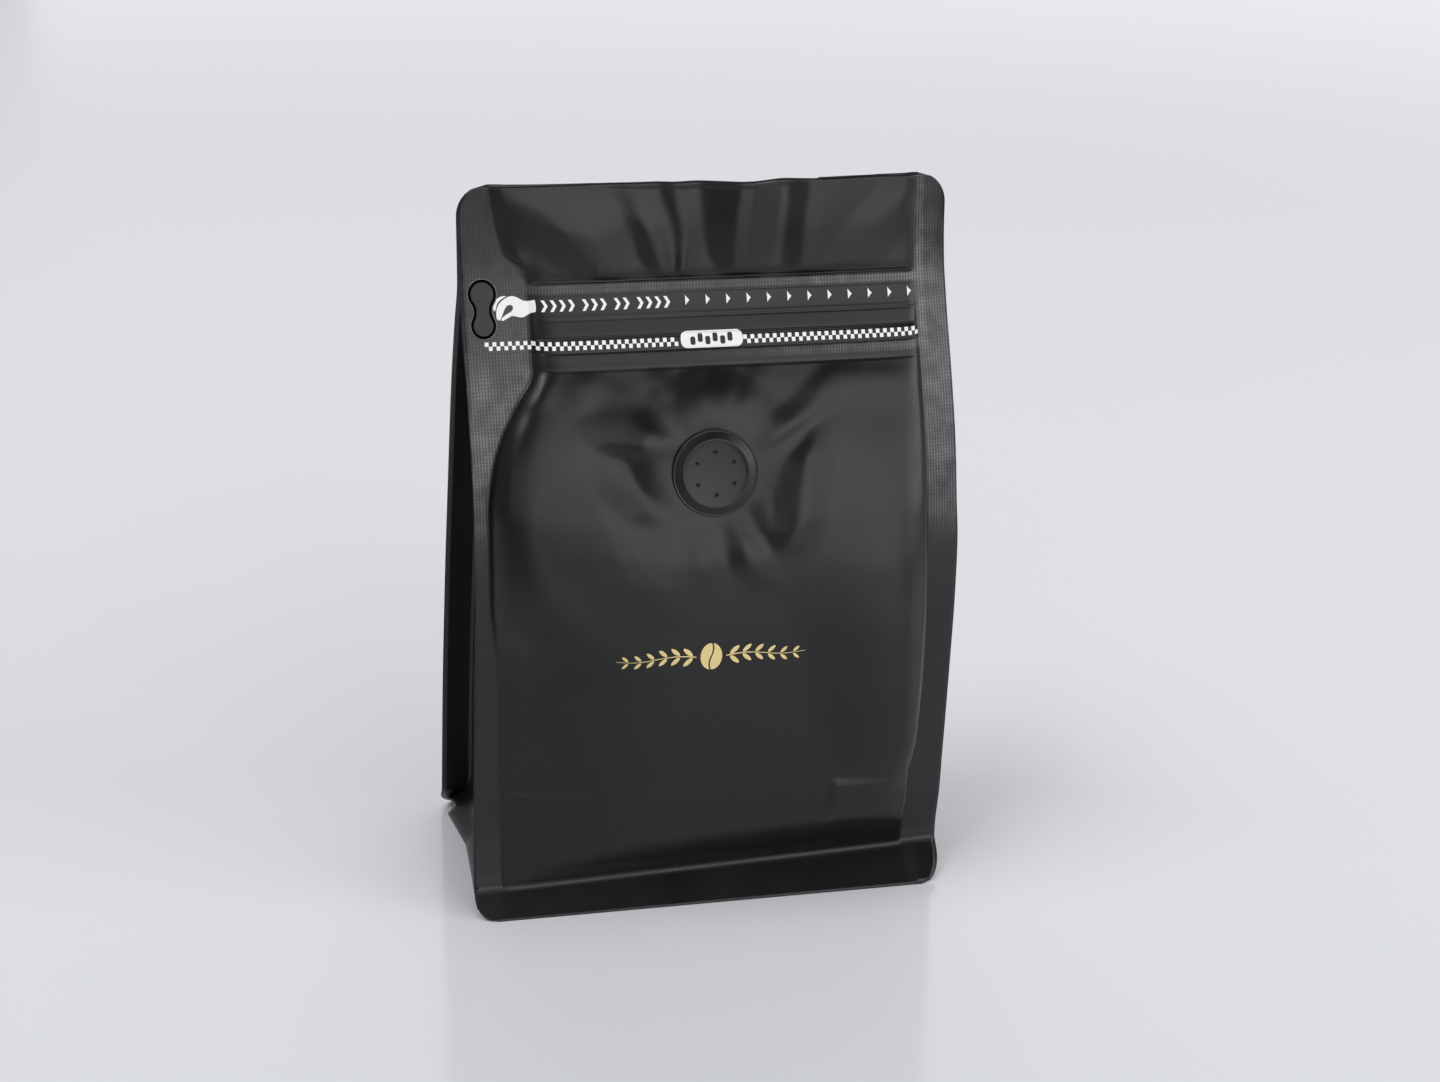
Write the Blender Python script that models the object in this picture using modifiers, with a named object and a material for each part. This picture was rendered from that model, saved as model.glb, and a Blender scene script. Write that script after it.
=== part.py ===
"""A filled flat-bottomed coffee bag that stands on its base, built for Blender 4.5.

The shut bag is one solid of film and contents. The degassing valve and the die-cut pull tab
are separate solids set on its front film.

Sizes are in millimetres and become metres when a mesh is made. The origin is the middle of
the base, +Z is up and the printed front faces -Y. A "reach" is a distance measured out from
the bag's middle plane, forwards for the front film and backwards for the back film.
"""
import math
from collections import namedtuple

import bmesh
import bpy
from mathutils import Vector

MM = 0.001

# The pouch
WIDTH = 130.0              # across the sealed side fins
HEIGHT = 192.5             # as it stands, filled
FIN = 10.0                 # width of each sealed side fin
FIN_THICKNESS = 1.0        # two films, with the thickness that a solid fin needs
TOP_CORNER = 8.0           # radius of the two top corners
FOOT_CORNER = 6.0          # radius of the base flange's corners
FLANGE = 7.5               # height of the crease above the flared base flange
CREASE_TILT = 1.5          # how much higher the crease runs at the right than in the middle
CREASE_FADE = 26.0         # height at which that tilt has died out
BASE_FOLD = 34.0           # height where the bottom gusset's fold prints through the front
NECK = 147.0               # lower edge of the zipper band
BROW = 168.0               # upper edge of the zipper band
SWAY = 0.7                 # how far the filled bag leans to its right at mid height

# Heights and reaches of the sealed fins, front and back, above the flange's crease
FOOT_REACH = 36.0
FRONT_FIN = [(7.5, 29.2), (13, 27.9), (45, 28.4), (78, 28.6), (93, 28.0), (108, 26.2),
             (124, 22.4), (140, 16.5), (160, 8.0), (170, 4.5), (181, 2.7), (192.5, 1.5)]
BACK_FIN = [(7.5, 30.6), (13, 30.0), (43, 29.0), (75, 26.1), (107, 19.8), (137, 11.4),
            (156, 3.6), (168, -1.6), (180, -0.9), (192.5, 0.2)]

# How far the contents push the middle of each panel out past its fins
FRONT_BULGE = [(9, 0.0), (14, 2.5), (22, 6.5), (34, 9.0), (60, 10.0), (90, 9.5), (110, 8.0),
               (130, 5.0), (142, 2.0), (147, 0.8), (168, 0.6), (180, 1.6), (192.5, 3.0)]
BACK_BULGE = [(9, 0.0), (16, 3.0), (34, 7.0), (60, 10.0), (90, 11.0), (118, 8.0), (140, 3.0),
              (150, 1.0), (168, 0.4), (180, -0.8), (192.5, -2.2)]
BULGE_HALF_WIDTH = 55.0
BULGE_POWER = 3.2          # how square the bulge is across the panel

# The side gussets: bulged by the contents low down, pleated inwards under the header
SIDE_BULGE = [(7.5, 0.5), (30, 4.5), (60, 6.0), (90, 4.0), (112, 0.5), (125, 0.0)]
SIDE_PLEAT = [(92, 0.0), (110, 2.5), (130, 8.0), (150, 14.0), (158, 15.0), (165, 9.0)]
PLEAT_TOP = 169.0          # above this the fins and the gusset lie together
PLEAT_CLOSING = 7.0        # height over which the side notch runs out
SKIRT_TOP = 12.0           # height up to which the side film flares out to the base
SKIRT_INSET = 0.4          # the side film's foot, inside the fins' edges at the corners
SKIRT_KINK = 3.0           # how much further in it stands at its kink
SKIRT_KINK_SHARE = 0.62    # the kink's place, as a share of the way from front to back

# The underside: inside the skirt the base film leaves its crease and sags onto the ground
SKIRT_THICKNESS = 1.2
RECESS_HALF_WIDTH = 60.0   # inner face of the side skirts at the ground
RECESS_TAPER = 0.5         # how much further in it stands for each mm up
RECESS_CORNER = 6.0
RECESS_CORNER_STEPS = 5
CREASE_INSIDE = 6.2        # height where the base film leaves the skirt
BASE_SECTION = [           # height on the skirt's inner face, inset from it, height
    (0.0, 0.0, 0.0), (CREASE_INSIDE, 0.0, CREASE_INSIDE), (CREASE_INSIDE, 3.0, 4.8),
    (CREASE_INSIDE, 6.5, 1.6), (CREASE_INSIDE, 9.5, 0.0),
]

# A fold is a ridge from one point of the front to another: x and z of both ends, the width
# of its left and of its right flank, and its height.
Fold = namedtuple("Fold", "x0 z0 x1 z1 left right rise")
FRONT_FOLDS = [
    Fold(-29, 144, -13, 126, 7.0, 4.5, 1.8),
    Fold(-4, 145, -1, 129, 6.0, 5.0, 1.8),
    Fold(31, 144, 12, 126, 4.0, 5.0, 1.5),
    Fold(27, 131, 16, 101, 4.0, 5.0, 1.6),
    Fold(2, 107, 8, 97, 4.0, 4.0, 1.2),
    Fold(-8, 107, -11, 95, 4.0, 4.5, 0.9),
    Fold(-24, 118, -19, 92, 10.0, 8.0, 1.6),
    Fold(-50, 128, -51, 60, 5.0, 7.0, 0.8),
]
BACK_FOLDS = [
    Fold(-30, 144, -17, 122, 6.0, 6.0, 1.5),
    Fold(-2, 146, 1, 118, 6.0, 5.0, 1.6),
    Fold(28, 144, 17, 120, 6.0, 6.0, 1.5),
]
HEADER_FOLDS = [
    Fold(-42, 194, -30, 166, 9.0, 8.0, 1.5),
    Fold(-16, 194, -12, 166, 4.0, 4.0, 0.9),
    Fold(9, 196, 9, 164, 6.5, 6.0, 2.4),
    Fold(27, 194, 28, 166, 5.0, 8.0, 1.3),
]
FOLD_END = 5.0             # length over which a fold rises at each of its ends

# Raised lines across the zipper band: height, half width and rise
ZIP_RIDGES = [(166.0, 1.4, 0.7), (158.6, 1.0, 0.4), (153.0, 1.3, 0.5), (148.6, 0.9, 0.4)]
ZIP_GROOVE = (167.9, 0.9, -0.6)
ZIP_HALF_WIDTH = 55.0

# The valve and the flat spot that it is set on
VALVE_RADIUS = 11.3
VALVE_X = -2.7
VALVE_Z = 122.0
VALVE_TILT = 15.0          # degrees that its face leans back
VALVE_REACH = 29.4         # reach of its seat's middle
SEAT_FLAT = 15.5           # radius of the flat spot
SEAT_BLEND = 11.0          # width over which the film leaves it
PIECE_GAP = 0.3            # clearance between a set-on piece and the film

# The pull tab, a figure of eight
TAB_X = -59.4
TAB_LOW_Z = 157.3
TAB_HIGH_Z = 165.4
TAB_LOW_RADIUS = 3.2
TAB_HIGH_RADIUS = 3.7
TAB_WAIST = 2.0            # half width between the two lobes
TAB_THICKNESS = 0.5

# How finely the loft is cut
FRONT_STEPS = 40
BACK_STEPS = 18
GUSSET_STEPS = 7
ROWS = [0, 2.5, 5, 7.5, 9.5, 12, 16, 20, 25, 30, 33, 35, 38, 44, 51, 58, 65, 72, 79, 86, 92, 97,
        102, 107, 112, 117, 122, 127, 132, 136.5, 140.5, 144, 147, 148.6, 150.8, 153, 155.2,
        157, 158.6, 161, 164, 166, 167.8, 169.2, 172, 176, 180, 184, 187, 189.5, 191.2, 192.1,
        192.5]


def smoothstep(low, high, value):
    """Rise from 0 at low to 1 at high without a corner."""
    share = min(max((value - low) / (high - low), 0.0), 1.0)
    return share * share * (3.0 - 2.0 * share)


def curve_through(stations):
    """Return a function that runs smoothly, and without overshoot, through (place, value)s."""
    places = [place for place, _ in stations]
    values = [value for _, value in stations]
    slopes = [(values[i + 1] - values[i]) / (places[i + 1] - places[i])
              for i in range(len(stations) - 1)]
    tangents = [slopes[0]]
    for before, after in zip(slopes, slopes[1:]):
        flat = before * after <= 0.0
        tangents.append(0.0 if flat else 2.0 * before * after / (before + after))
    tangents.append(slopes[-1])

    def value_at(place):
        if place <= places[0]:
            return values[0]
        if place >= places[-1]:
            return values[-1]
        i = max(k for k, start in enumerate(places) if start <= place)
        span = places[i + 1] - places[i]
        t = (place - places[i]) / span
        return ((2 * t**3 - 3 * t**2 + 1) * values[i] + (t**3 - 2 * t**2 + t) * span * tangents[i]
                + (3 * t**2 - 2 * t**3) * values[i + 1] + (t**3 - t**2) * span * tangents[i + 1])

    return value_at


front_fin_curve = curve_through(FRONT_FIN)
back_fin_curve = curve_through(BACK_FIN)
front_bulge_curve = curve_through(FRONT_BULGE)
back_bulge_curve = curve_through(BACK_BULGE)
side_bulge_curve = curve_through(SIDE_BULGE)
side_pleat_curve = curve_through(SIDE_PLEAT)


def fold_height(fold, x, z):
    """Height that one fold adds at a point of a panel."""
    along_x, along_z = fold.x1 - fold.x0, fold.z1 - fold.z0
    length = math.hypot(along_x, along_z)
    along = ((x - fold.x0) * along_x + (z - fold.z0) * along_z) / length
    if not -FOLD_END < along < length + FOLD_END:
        return 0.0
    across = ((x - fold.x0) * along_z - (z - fold.z0) * along_x) / length
    if along_z < 0.0:
        across = -across
    flank = fold.left if across < 0.0 else fold.right
    ends = (smoothstep(-FOLD_END, FOLD_END, along)
            * (1.0 - smoothstep(length - FOLD_END, length + FOLD_END, along)))
    return fold.rise * ends * math.exp(-(across / flank) ** 2)


def fin_reach(curve, z):
    """Reach of a sealed fin: the flared flange below its crease, the panel's edge above."""
    crease_reach = curve(FLANGE)
    if z < FLANGE:
        return FOOT_REACH + (crease_reach - FOOT_REACH) * z / FLANGE
    return curve(z)


def pillow(x):
    """Share of the bulge at a place across a panel."""
    share = min(abs(x) / BULGE_HALF_WIDTH, 1.0)
    return 1.0 - share ** BULGE_POWER


def zip_relief(x, z):
    """The zipper band's raised lines and the groove along its top."""
    ends = 1.0 - smoothstep(ZIP_HALF_WIDTH - 3.0, ZIP_HALF_WIDTH, abs(x))
    return ends * sum(rise * math.exp(-((z - height) / half) ** 2)
                      for height, half, rise in ZIP_RIDGES + [ZIP_GROOVE])


def body_share(z):
    """1 over the filled body, 0 on the zipper band and the header."""
    return 1.0 - smoothstep(NECK - 5.0, NECK, z)


def header_wave(x, z):
    """Forward wave that the header's two films share above the zipper band."""
    inside = 1.0 - smoothstep(47.0, 57.0, abs(x))
    above = smoothstep(BROW, BROW + 3.0, z)
    return inside * above * sum(fold_height(fold, x, z) for fold in HEADER_FOLDS)


def base_fold_step(x, z):
    """The step of the bottom gusset's fold, strongest towards the right seam."""
    strength = 0.25 + 0.75 * smoothstep(15.0, 40.0, x)
    inside = 1.0 - smoothstep(52.0, 56.0, abs(x))
    below = 1.0 - smoothstep(BASE_FOLD - 1.5, BASE_FOLD + 1.0, z)
    fade = smoothstep(14.0, 28.0, z)
    return 0.9 * strength * inside * below * fade


def valve_seat_reach(x, z):
    """Reach of the flat spot's plane under the valve."""
    return VALVE_REACH - math.tan(math.radians(VALVE_TILT)) * (z - VALVE_Z)


def front_reach(x, z):
    """Reach of the front film."""
    reach = fin_reach(front_fin_curve, z)
    if z > FLANGE:
        folds = body_share(z) * sum(fold_height(fold, x, z) for fold in FRONT_FOLDS)
        reach += front_bulge_curve(z) * pillow(x) + folds * pillow(x) ** 0.5
        reach += zip_relief(x, z) + header_wave(x, z) + base_fold_step(x, z)
    distance = math.hypot(x - VALVE_X, (z - VALVE_Z) / math.cos(math.radians(VALVE_TILT)))
    seat = 1.0 - smoothstep(SEAT_FLAT, SEAT_FLAT + SEAT_BLEND, distance)
    return reach + seat * (valve_seat_reach(x, z) - reach)


def back_reach(x, z):
    """Reach of the back film."""
    reach = fin_reach(back_fin_curve, z)
    if z > FLANGE:
        folds = body_share(z) * sum(fold_height(fold, x, z) for fold in BACK_FOLDS)
        reach += back_bulge_curve(z) * pillow(x) + folds * pillow(x) ** 0.5
        reach += zip_relief(x, z) - header_wave(x, z)
    return reach


def half_width(z):
    """Half the bag's width, drawn in by the rounded corners at the top and at the foot."""
    half = WIDTH / 2.0
    for radius, into in ((TOP_CORNER, z - (HEIGHT - TOP_CORNER)), (FOOT_CORNER, FOOT_CORNER - z)):
        if into > 0.0:
            half -= radius - math.sqrt(max(radius**2 - into**2, 0.0))
    return half


def side_edge(z, share):
    """Half width that the side film is measured in from: rounded at the fins only."""
    rounded = half_width(z)
    if z > FOOT_CORNER:
        return rounded
    clear_of_corner = smoothstep(0.0, 0.08, min(share, 1.0 - share))
    return rounded + (WIDTH / 2.0 - rounded) * clear_of_corner


def side_inset(z, share):
    """How far the side film lies inside the fins' edges, at a share of the way to the back."""
    middle = math.sin(math.pi * share)
    kink = min(share / SKIRT_KINK_SHARE, (1.0 - share) / (1.0 - SKIRT_KINK_SHARE))
    foot = SKIRT_INSET + SKIRT_KINK * kink
    pleat = 1.0 - abs(2.0 * share - 1.0)
    wall = FIN - side_bulge_curve(z) * middle ** 0.7 + side_pleat_curve(z) * pleat
    skirt = 1.0 - smoothstep(0.0, SKIRT_TOP, z)
    open_notch = 1.0 - smoothstep(PLEAT_TOP - PLEAT_CLOSING, PLEAT_TOP, z)
    return (foot * skirt + wall * (1.0 - skirt)) * open_notch


def side_row(side, z):
    """Points down one side from the front fin's edge to the back fin's edge, both left out."""
    edge = half_width(z)
    front, back = fin_reach(front_fin_curve, z), -fin_reach(back_fin_curve, z)
    film = min(FIN_THICKNESS, (front - back) / 4.0)
    inner_front, inner_back = front - film, back + film
    points = [(side * edge, inner_front)]
    for step in range(GUSSET_STEPS + 1):
        share = (1.0 - math.cos(math.pi * step / GUSSET_STEPS)) / 2.0
        reach = inner_front + (inner_back - inner_front) * share
        points.append((side * (side_edge(z, share) - side_inset(z, share)), reach))
    points.append((side * edge, inner_back))
    return points


def ring(row_height):
    """One closed outline of the bag: front, right side, back and left side."""
    edge = half_width(row_height)
    outline = []
    for step in range(FRONT_STEPS + 1):
        x = edge * (2.0 * step / FRONT_STEPS - 1.0)
        outline.append((x, front_reach(x, row_height)))
    outline += side_row(1, row_height)
    for step in range(BACK_STEPS + 1):
        x = edge * (1.0 - 2.0 * step / BACK_STEPS)
        outline.append((x, -back_reach(x, row_height)))
    outline += reversed(side_row(-1, row_height))
    lean = SWAY * math.sin(math.pi * row_height / HEIGHT) ** 2
    tilt = CREASE_TILT * (1.0 - smoothstep(FLANGE, CREASE_FADE, row_height))
    tilt *= min(row_height / FLANGE, 1.0)
    return [Vector((x + lean, -reach, row_height + tilt * x / (WIDTH / 2.0))) * MM
            for x, reach in outline]


def make_material(name, colour, roughness, metallic=0.0):
    material = bpy.data.materials.new(name)
    material.use_nodes = True
    shader = material.node_tree.nodes["Principled BSDF"]
    shader.inputs["Base Color"].default_value = (*colour, 1.0)
    shader.inputs["Roughness"].default_value = roughness
    shader.inputs["Metallic"].default_value = metallic
    return material


def add_object(name, data, material, collection):
    thing = bpy.data.objects.new(name, data)
    data.materials.append(material)
    collection.objects.link(thing)
    return thing


def recess_ring(wall_height, inset, height):
    """A rounded oblong: the skirt's inner face at one height, drawn in, and set at another."""
    half = RECESS_HALF_WIDTH - RECESS_TAPER * wall_height - inset
    front = fin_reach(front_fin_curve, wall_height) - SKIRT_THICKNESS - inset
    back = fin_reach(back_fin_curve, wall_height) - SKIRT_THICKNESS - inset
    corners = [(half, -front, -90.0), (half, back, 0.0), (-half, back, 90.0),
               (-half, -front, 180.0)]
    points = []
    for x, y, start in corners:
        middle_x = x - math.copysign(RECESS_CORNER, x)
        middle_y = y - math.copysign(RECESS_CORNER, y)
        for step in range(RECESS_CORNER_STEPS + 1):
            turn = math.radians(start + 90.0 * step / RECESS_CORNER_STEPS)
            points.append(Vector((middle_x + RECESS_CORNER * math.cos(turn),
                                  middle_y + RECESS_CORNER * math.sin(turn), height)) * MM)
    return points


def bridge(shell, lower, upper):
    for i in range(len(lower)):
        j = (i + 1) % len(lower)
        shell.faces.new((lower[i], lower[j], upper[j], upper[i]))


def make_pouch(material, collection):
    """Loft the rings into one closed body: a thin flat top, and a filled base inside a skirt."""
    shell = bmesh.new()
    rings = [[shell.verts.new(point) for point in ring(height)] for height in ROWS]
    for lower, upper in zip(rings, rings[1:]):
        bridge(shell, lower, upper)
    shell.faces.new(rings[-1])
    recess = [[shell.verts.new(point) for point in recess_ring(*station)]
              for station in BASE_SECTION]
    for outer, inner in zip(recess, recess[1:]):
        bridge(shell, inner, outer)
    shell.faces.new(recess[-1])
    rim = [edge for loop in (rings[0], recess[0]) for edge in
           [shell.edges.get((a, b)) for a, b in zip(loop, loop[1:] + loop[:1])]]
    bmesh.ops.triangle_fill(shell, edges=rim, use_beauty=True, normal=(0.0, 0.0, -1.0))
    bmesh.ops.recalc_face_normals(shell, faces=shell.faces)
    mesh = bpy.data.meshes.new("pouch")
    shell.to_mesh(mesh)
    shell.free()
    mesh.shade_smooth()
    mesh.set_sharp_from_angle(angle=math.radians(40.0))
    return add_object("pouch", mesh, material, collection)


def make_valve(material, collection):
    """Turn the valve: a slightly dished disc, a sloping ring around it and a low rim."""
    profile = [(0.0, 0.95), (4.5, 1.0), (8.1, 1.15), (8.7, 1.05), (10.6, 0.35), (10.95, 0.3),
               (VALVE_RADIUS, 0.55), (VALVE_RADIUS, 0.0), (0.0, 0.0)]
    outline = bmesh.new()
    corners = [outline.verts.new(Vector((radius, 0.0, rise)) * MM) for radius, rise in profile]
    for start, end in zip(corners, corners[1:]):
        outline.edges.new((start, end))
    mesh = bpy.data.meshes.new("valve")
    outline.to_mesh(mesh)
    outline.free()
    valve = add_object("valve", mesh, material, collection)
    turn = valve.modifiers.new("Turn", "SCREW")
    turn.steps = turn.render_steps = 40
    turn.use_merge_vertices = True
    turn.merge_threshold = 0.00005
    lean = math.radians(VALVE_TILT)
    outwards = Vector((0.0, -math.cos(lean), math.sin(lean)))
    sway = SWAY * math.sin(math.pi * VALVE_Z / HEIGHT) ** 2
    seat = Vector((VALVE_X + sway, -valve_seat_reach(VALVE_X, VALVE_Z), VALVE_Z))
    valve.location = (seat + outwards * PIECE_GAP) * MM
    valve.rotation_euler = (math.radians(90.0) - lean, 0.0, 0.0)
    return valve


def tab_half_width(along):
    """Half width of the figure of eight at a place between its two ends."""
    low = TAB_LOW_RADIUS**2 - (along - TAB_LOW_Z) ** 2
    high = TAB_HIGH_RADIUS**2 - (along - TAB_HIGH_Z) ** 2
    lobe = math.sqrt(max(low, high, 0.0))
    between = TAB_LOW_Z < along < TAB_HIGH_Z
    return max(lobe, TAB_WAIST) if between else lobe


def make_pull_tab(material, collection):
    """Extrude the figure of eight and lay it on the sloping fin beside the zipper band."""
    low_end, high_end = TAB_LOW_Z - TAB_LOW_RADIUS, TAB_HIGH_Z + TAB_HIGH_RADIUS
    steps = 26
    heights = [low_end + (high_end - low_end) * (1.0 - math.cos(math.pi * i / steps)) / 2.0
               for i in range(steps + 1)]
    right = [(tab_half_width(height), height) for height in heights]
    left = [(-half, height) for half, height in reversed(right[1:-1])]
    low_reach, high_reach = front_fin_curve(low_end), front_fin_curve(high_end)
    lean = math.atan2(low_reach - high_reach, high_end - low_end)

    curve = bpy.data.curves.new("pull_tab", "CURVE")
    curve.dimensions = "2D"
    curve.fill_mode = "BOTH"
    curve.extrude = TAB_THICKNESS / 2.0 * MM
    spline = curve.splines.new("POLY")
    spline.points.add(len(right + left) - 1)
    for point, (x, height) in zip(spline.points, right + left):
        point.co = (x * MM, (height - low_end) / math.cos(lean) * MM, 0.0, 1.0)
    spline.use_cyclic_u = True

    sway = SWAY * math.sin(math.pi * TAB_LOW_Z / HEIGHT) ** 2
    outwards = Vector((0.0, -math.cos(lean), math.sin(lean)))
    foot = Vector((TAB_X + sway, -low_reach, low_end))
    pattern = bpy.data.objects.new("tab_pattern", curve)
    collection.objects.link(pattern)
    pattern.location = (foot + outwards * (PIECE_GAP + 0.1 + TAB_THICKNESS / 2.0)) * MM
    pattern.rotation_euler = (math.radians(90.0) - lean, 0.0, 0.0)
    bpy.context.view_layer.update()
    solid = bpy.data.meshes.new_from_object(pattern.evaluated_get(
        bpy.context.evaluated_depsgraph_get()))
    joined = bmesh.new()
    joined.from_mesh(solid)
    bmesh.ops.remove_doubles(joined, verts=joined.verts, dist=0.00001)
    joined.to_mesh(solid)
    joined.free()
    tab = add_object("pull_tab", solid, material, collection)
    tab.matrix_world = pattern.matrix_world.copy()
    bpy.data.objects.remove(pattern)
    return tab


def main():
    for thing in list(bpy.data.objects):
        bpy.data.objects.remove(thing, do_unlink=True)
    collection = bpy.data.collections.new("coffee_bag")
    bpy.context.scene.collection.children.link(collection)
    film = make_material("matt_black_film", (0.018, 0.018, 0.019), 0.42)
    plastic = make_material("film_over_valve", (0.022, 0.022, 0.023), 0.38)
    make_pouch(film, collection)
    make_valve(plastic, collection)
    make_pull_tab(film, collection)


main()
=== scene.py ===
# Coffee bag: the film panels, seals, valve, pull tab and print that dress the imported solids.
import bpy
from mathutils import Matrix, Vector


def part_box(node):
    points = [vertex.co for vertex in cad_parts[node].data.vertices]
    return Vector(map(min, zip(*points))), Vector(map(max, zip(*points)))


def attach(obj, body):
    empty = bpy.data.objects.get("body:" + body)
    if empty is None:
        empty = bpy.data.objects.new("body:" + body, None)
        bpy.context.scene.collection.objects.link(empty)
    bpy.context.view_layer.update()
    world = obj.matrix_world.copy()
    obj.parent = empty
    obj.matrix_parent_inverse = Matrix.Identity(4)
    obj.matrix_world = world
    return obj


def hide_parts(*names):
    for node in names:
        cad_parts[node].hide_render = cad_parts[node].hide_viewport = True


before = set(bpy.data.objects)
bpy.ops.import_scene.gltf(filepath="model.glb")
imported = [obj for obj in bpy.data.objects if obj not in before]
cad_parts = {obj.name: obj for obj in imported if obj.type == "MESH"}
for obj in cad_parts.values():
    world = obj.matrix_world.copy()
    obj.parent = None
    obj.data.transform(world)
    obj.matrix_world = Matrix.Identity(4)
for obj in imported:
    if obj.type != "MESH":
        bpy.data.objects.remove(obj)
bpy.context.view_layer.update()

import math

import bmesh
import bpy
import numpy as np
from mathutils import Matrix, Vector

mm = 0.001  # shapes are worked out in millimetres and made in metres

bagLow, bagHigh = [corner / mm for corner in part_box("pouch")]
valveLow, valveHigh = [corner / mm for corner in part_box("valve")]
tabLow, tabHigh = [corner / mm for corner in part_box("pull_tab")]


# Small tools that every piece uses

def smoothStep(low, high, value):
    share = np.clip((value - low) / (high - low), 0.0, 1.0)
    return share * share * (3.0 - 2.0 * share)


def between(value, start, full, fade, end):
    # 0 outside start and end, 1 from full to fade
    return smoothStep(start, full, value) * (1.0 - smoothStep(fade, end, value))


def curveThrough(stations, flatEnds=False):
    # a smooth run through (place, value) pairs that never overshoots them
    places, values = np.array(stations, float).T
    slopes = np.diff(values) / np.diff(places)
    before, after = slopes[:-1], slopes[1:]
    total = np.where(before + after == 0.0, 1.0, before + after)
    inner = np.where(before * after > 0.0, 2.0 * before * after / total, 0.0)
    ends = 0.0 if flatEnds else 1.0
    tangents = np.concatenate([ends * slopes[:1], inner, ends * slopes[-1:]])

    def valueAt(place):
        place = np.clip(place, places[0], places[-1])
        i = np.clip(np.searchsorted(places, place, side="right") - 1, 0, len(slopes) - 1)
        span = places[i + 1] - places[i]
        t = (place - places[i]) / span
        return ((2 * t**3 - 3 * t**2 + 1) * values[i] + (t**3 - 2 * t**2 + t) * span * tangents[i]
                + (3 * t**2 - 2 * t**3) * values[i + 1] + (t**3 - t**2) * span * tangents[i + 1])

    return valueAt


def sharedOut(spans):
    # places from (start, end, spacing) spans, each shared out evenly
    places = []
    for start, end, spacing in spans:
        count = max(1, round((end - start) / spacing))
        places += list(np.linspace(start, end, count, endpoint=False))
    return np.array(places + [spans[-1][1]])


def gridMesh(name, points):
    # points[row, column] in millimetres become a sheet of quads
    rows, columns = points.shape[:2]
    mesh = bpy.data.meshes.new(name)
    index = np.arange(rows * columns).reshape(rows, columns)
    left, right = index[:, :-1], index[:, 1:]
    faces = np.stack([left[:-1], right[:-1], right[1:], left[1:]], axis=-1).reshape(-1, 4)
    mesh.from_pydata((points.reshape(-1, 3) * mm).tolist(), [], faces.tolist())
    mesh.shade_smooth()
    return mesh


def addPiece(name, mesh, material):
    piece = bpy.data.objects.new(name, mesh)
    bpy.context.scene.collection.objects.link(piece)
    mesh.materials.append(material)
    return piece


def finishMesh(piece):
    # turns what the modifiers make into the piece's own plain mesh
    evaluated = piece.evaluated_get(bpy.context.evaluated_depsgraph_get())
    mesh = bpy.data.meshes.new_from_object(evaluated)
    piece.modifiers.clear()
    old = piece.data
    piece.data = mesh
    mesh.name = piece.name
    bpy.data.meshes.remove(old)
    return piece


def thicken(piece, thickness):
    wall = piece.modifiers.new("Wall", "SOLIDIFY")
    wall.thickness = thickness * mm
    wall.offset = -1.0
    wall.use_quality_normals = True
    return finishMesh(piece)


def addNode(tree, kind, settings=None, links=None):
    # settings name properties or input sockets; links name input sockets and what feeds them
    node = tree.nodes.new(kind)
    for key, value in (settings or {}).items():
        if isinstance(key, str) and hasattr(node, key):
            setattr(node, key, value)
        else:
            node.inputs[key].default_value = value
    for key, source in (links or {}).items():
        tree.links.new(source, node.inputs[key])
    return node


def addMath(tree, operation, *values):
    # each value is a number or the output that feeds it
    node = addNode(tree, "ShaderNodeMath", {"operation": operation})
    for i, value in enumerate(values):
        if isinstance(value, float):
            node.inputs[i].default_value = value
        else:
            tree.links.new(value, node.inputs[i])
    return node.outputs[0]


def moveVertices(mesh, move):
    # move takes a mesh's x, y and z, and gives the new points in millimetres
    points = np.empty(len(mesh.vertices) * 3)
    mesh.vertices.foreach_get("co", points)
    mesh.vertices.foreach_set("co", (move(*points.reshape(-1, 3).T) * mm).ravel())
    mesh.update()


def fromHex(code):
    # sRGB hex to linear colour
    channels = [int(code[i:i + 2], 16) / 255.0 for i in (1, 3, 5)]
    return tuple(c / 12.92 if c <= 0.04045 else ((c + 0.055) / 1.055) ** 2.4
                 for c in channels) + (1.0,)


# The camera, placed round the bag by angles and a distance

camera = {
    "azimuth": -14.30, "elevation": 21.77, "roll": 1.98,  # degrees
    "distance": 757.73, "target": (7.15, 0.0, 91.21),
    "lens": 69.65, "sensor": 36.0,
}


def placeCamera():
    turn, lift, roll = [math.radians(camera[key]) for key in ("azimuth", "elevation", "roll")]
    back = Vector((math.sin(turn) * math.cos(lift), -math.cos(turn) * math.cos(lift),
                   math.sin(lift)))
    right = (-back).cross(Vector((0.0, 0.0, 1.0))).normalized()
    up = right.cross(-back)
    across = math.cos(roll) * right + math.sin(roll) * up
    upright = -math.sin(roll) * right + math.cos(roll) * up
    data = bpy.data.cameras.new("studioCamera")
    data.lens = camera["lens"]
    data.sensor_width = camera["sensor"]
    data.clip_end = 60.0
    body = bpy.data.objects.new("studioCamera", data)
    bpy.context.scene.collection.objects.link(body)
    stand = Vector(camera["target"]) + back * camera["distance"]
    body.matrix_world = Matrix.Translation(stand * mm) @ Matrix(
        (across, upright, back)).transposed().to_4x4()
    bpy.context.scene.camera = body


placeCamera()
print("camera placed")


# The pouch's shape. A reach is a distance out from the bag's middle plane.

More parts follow.
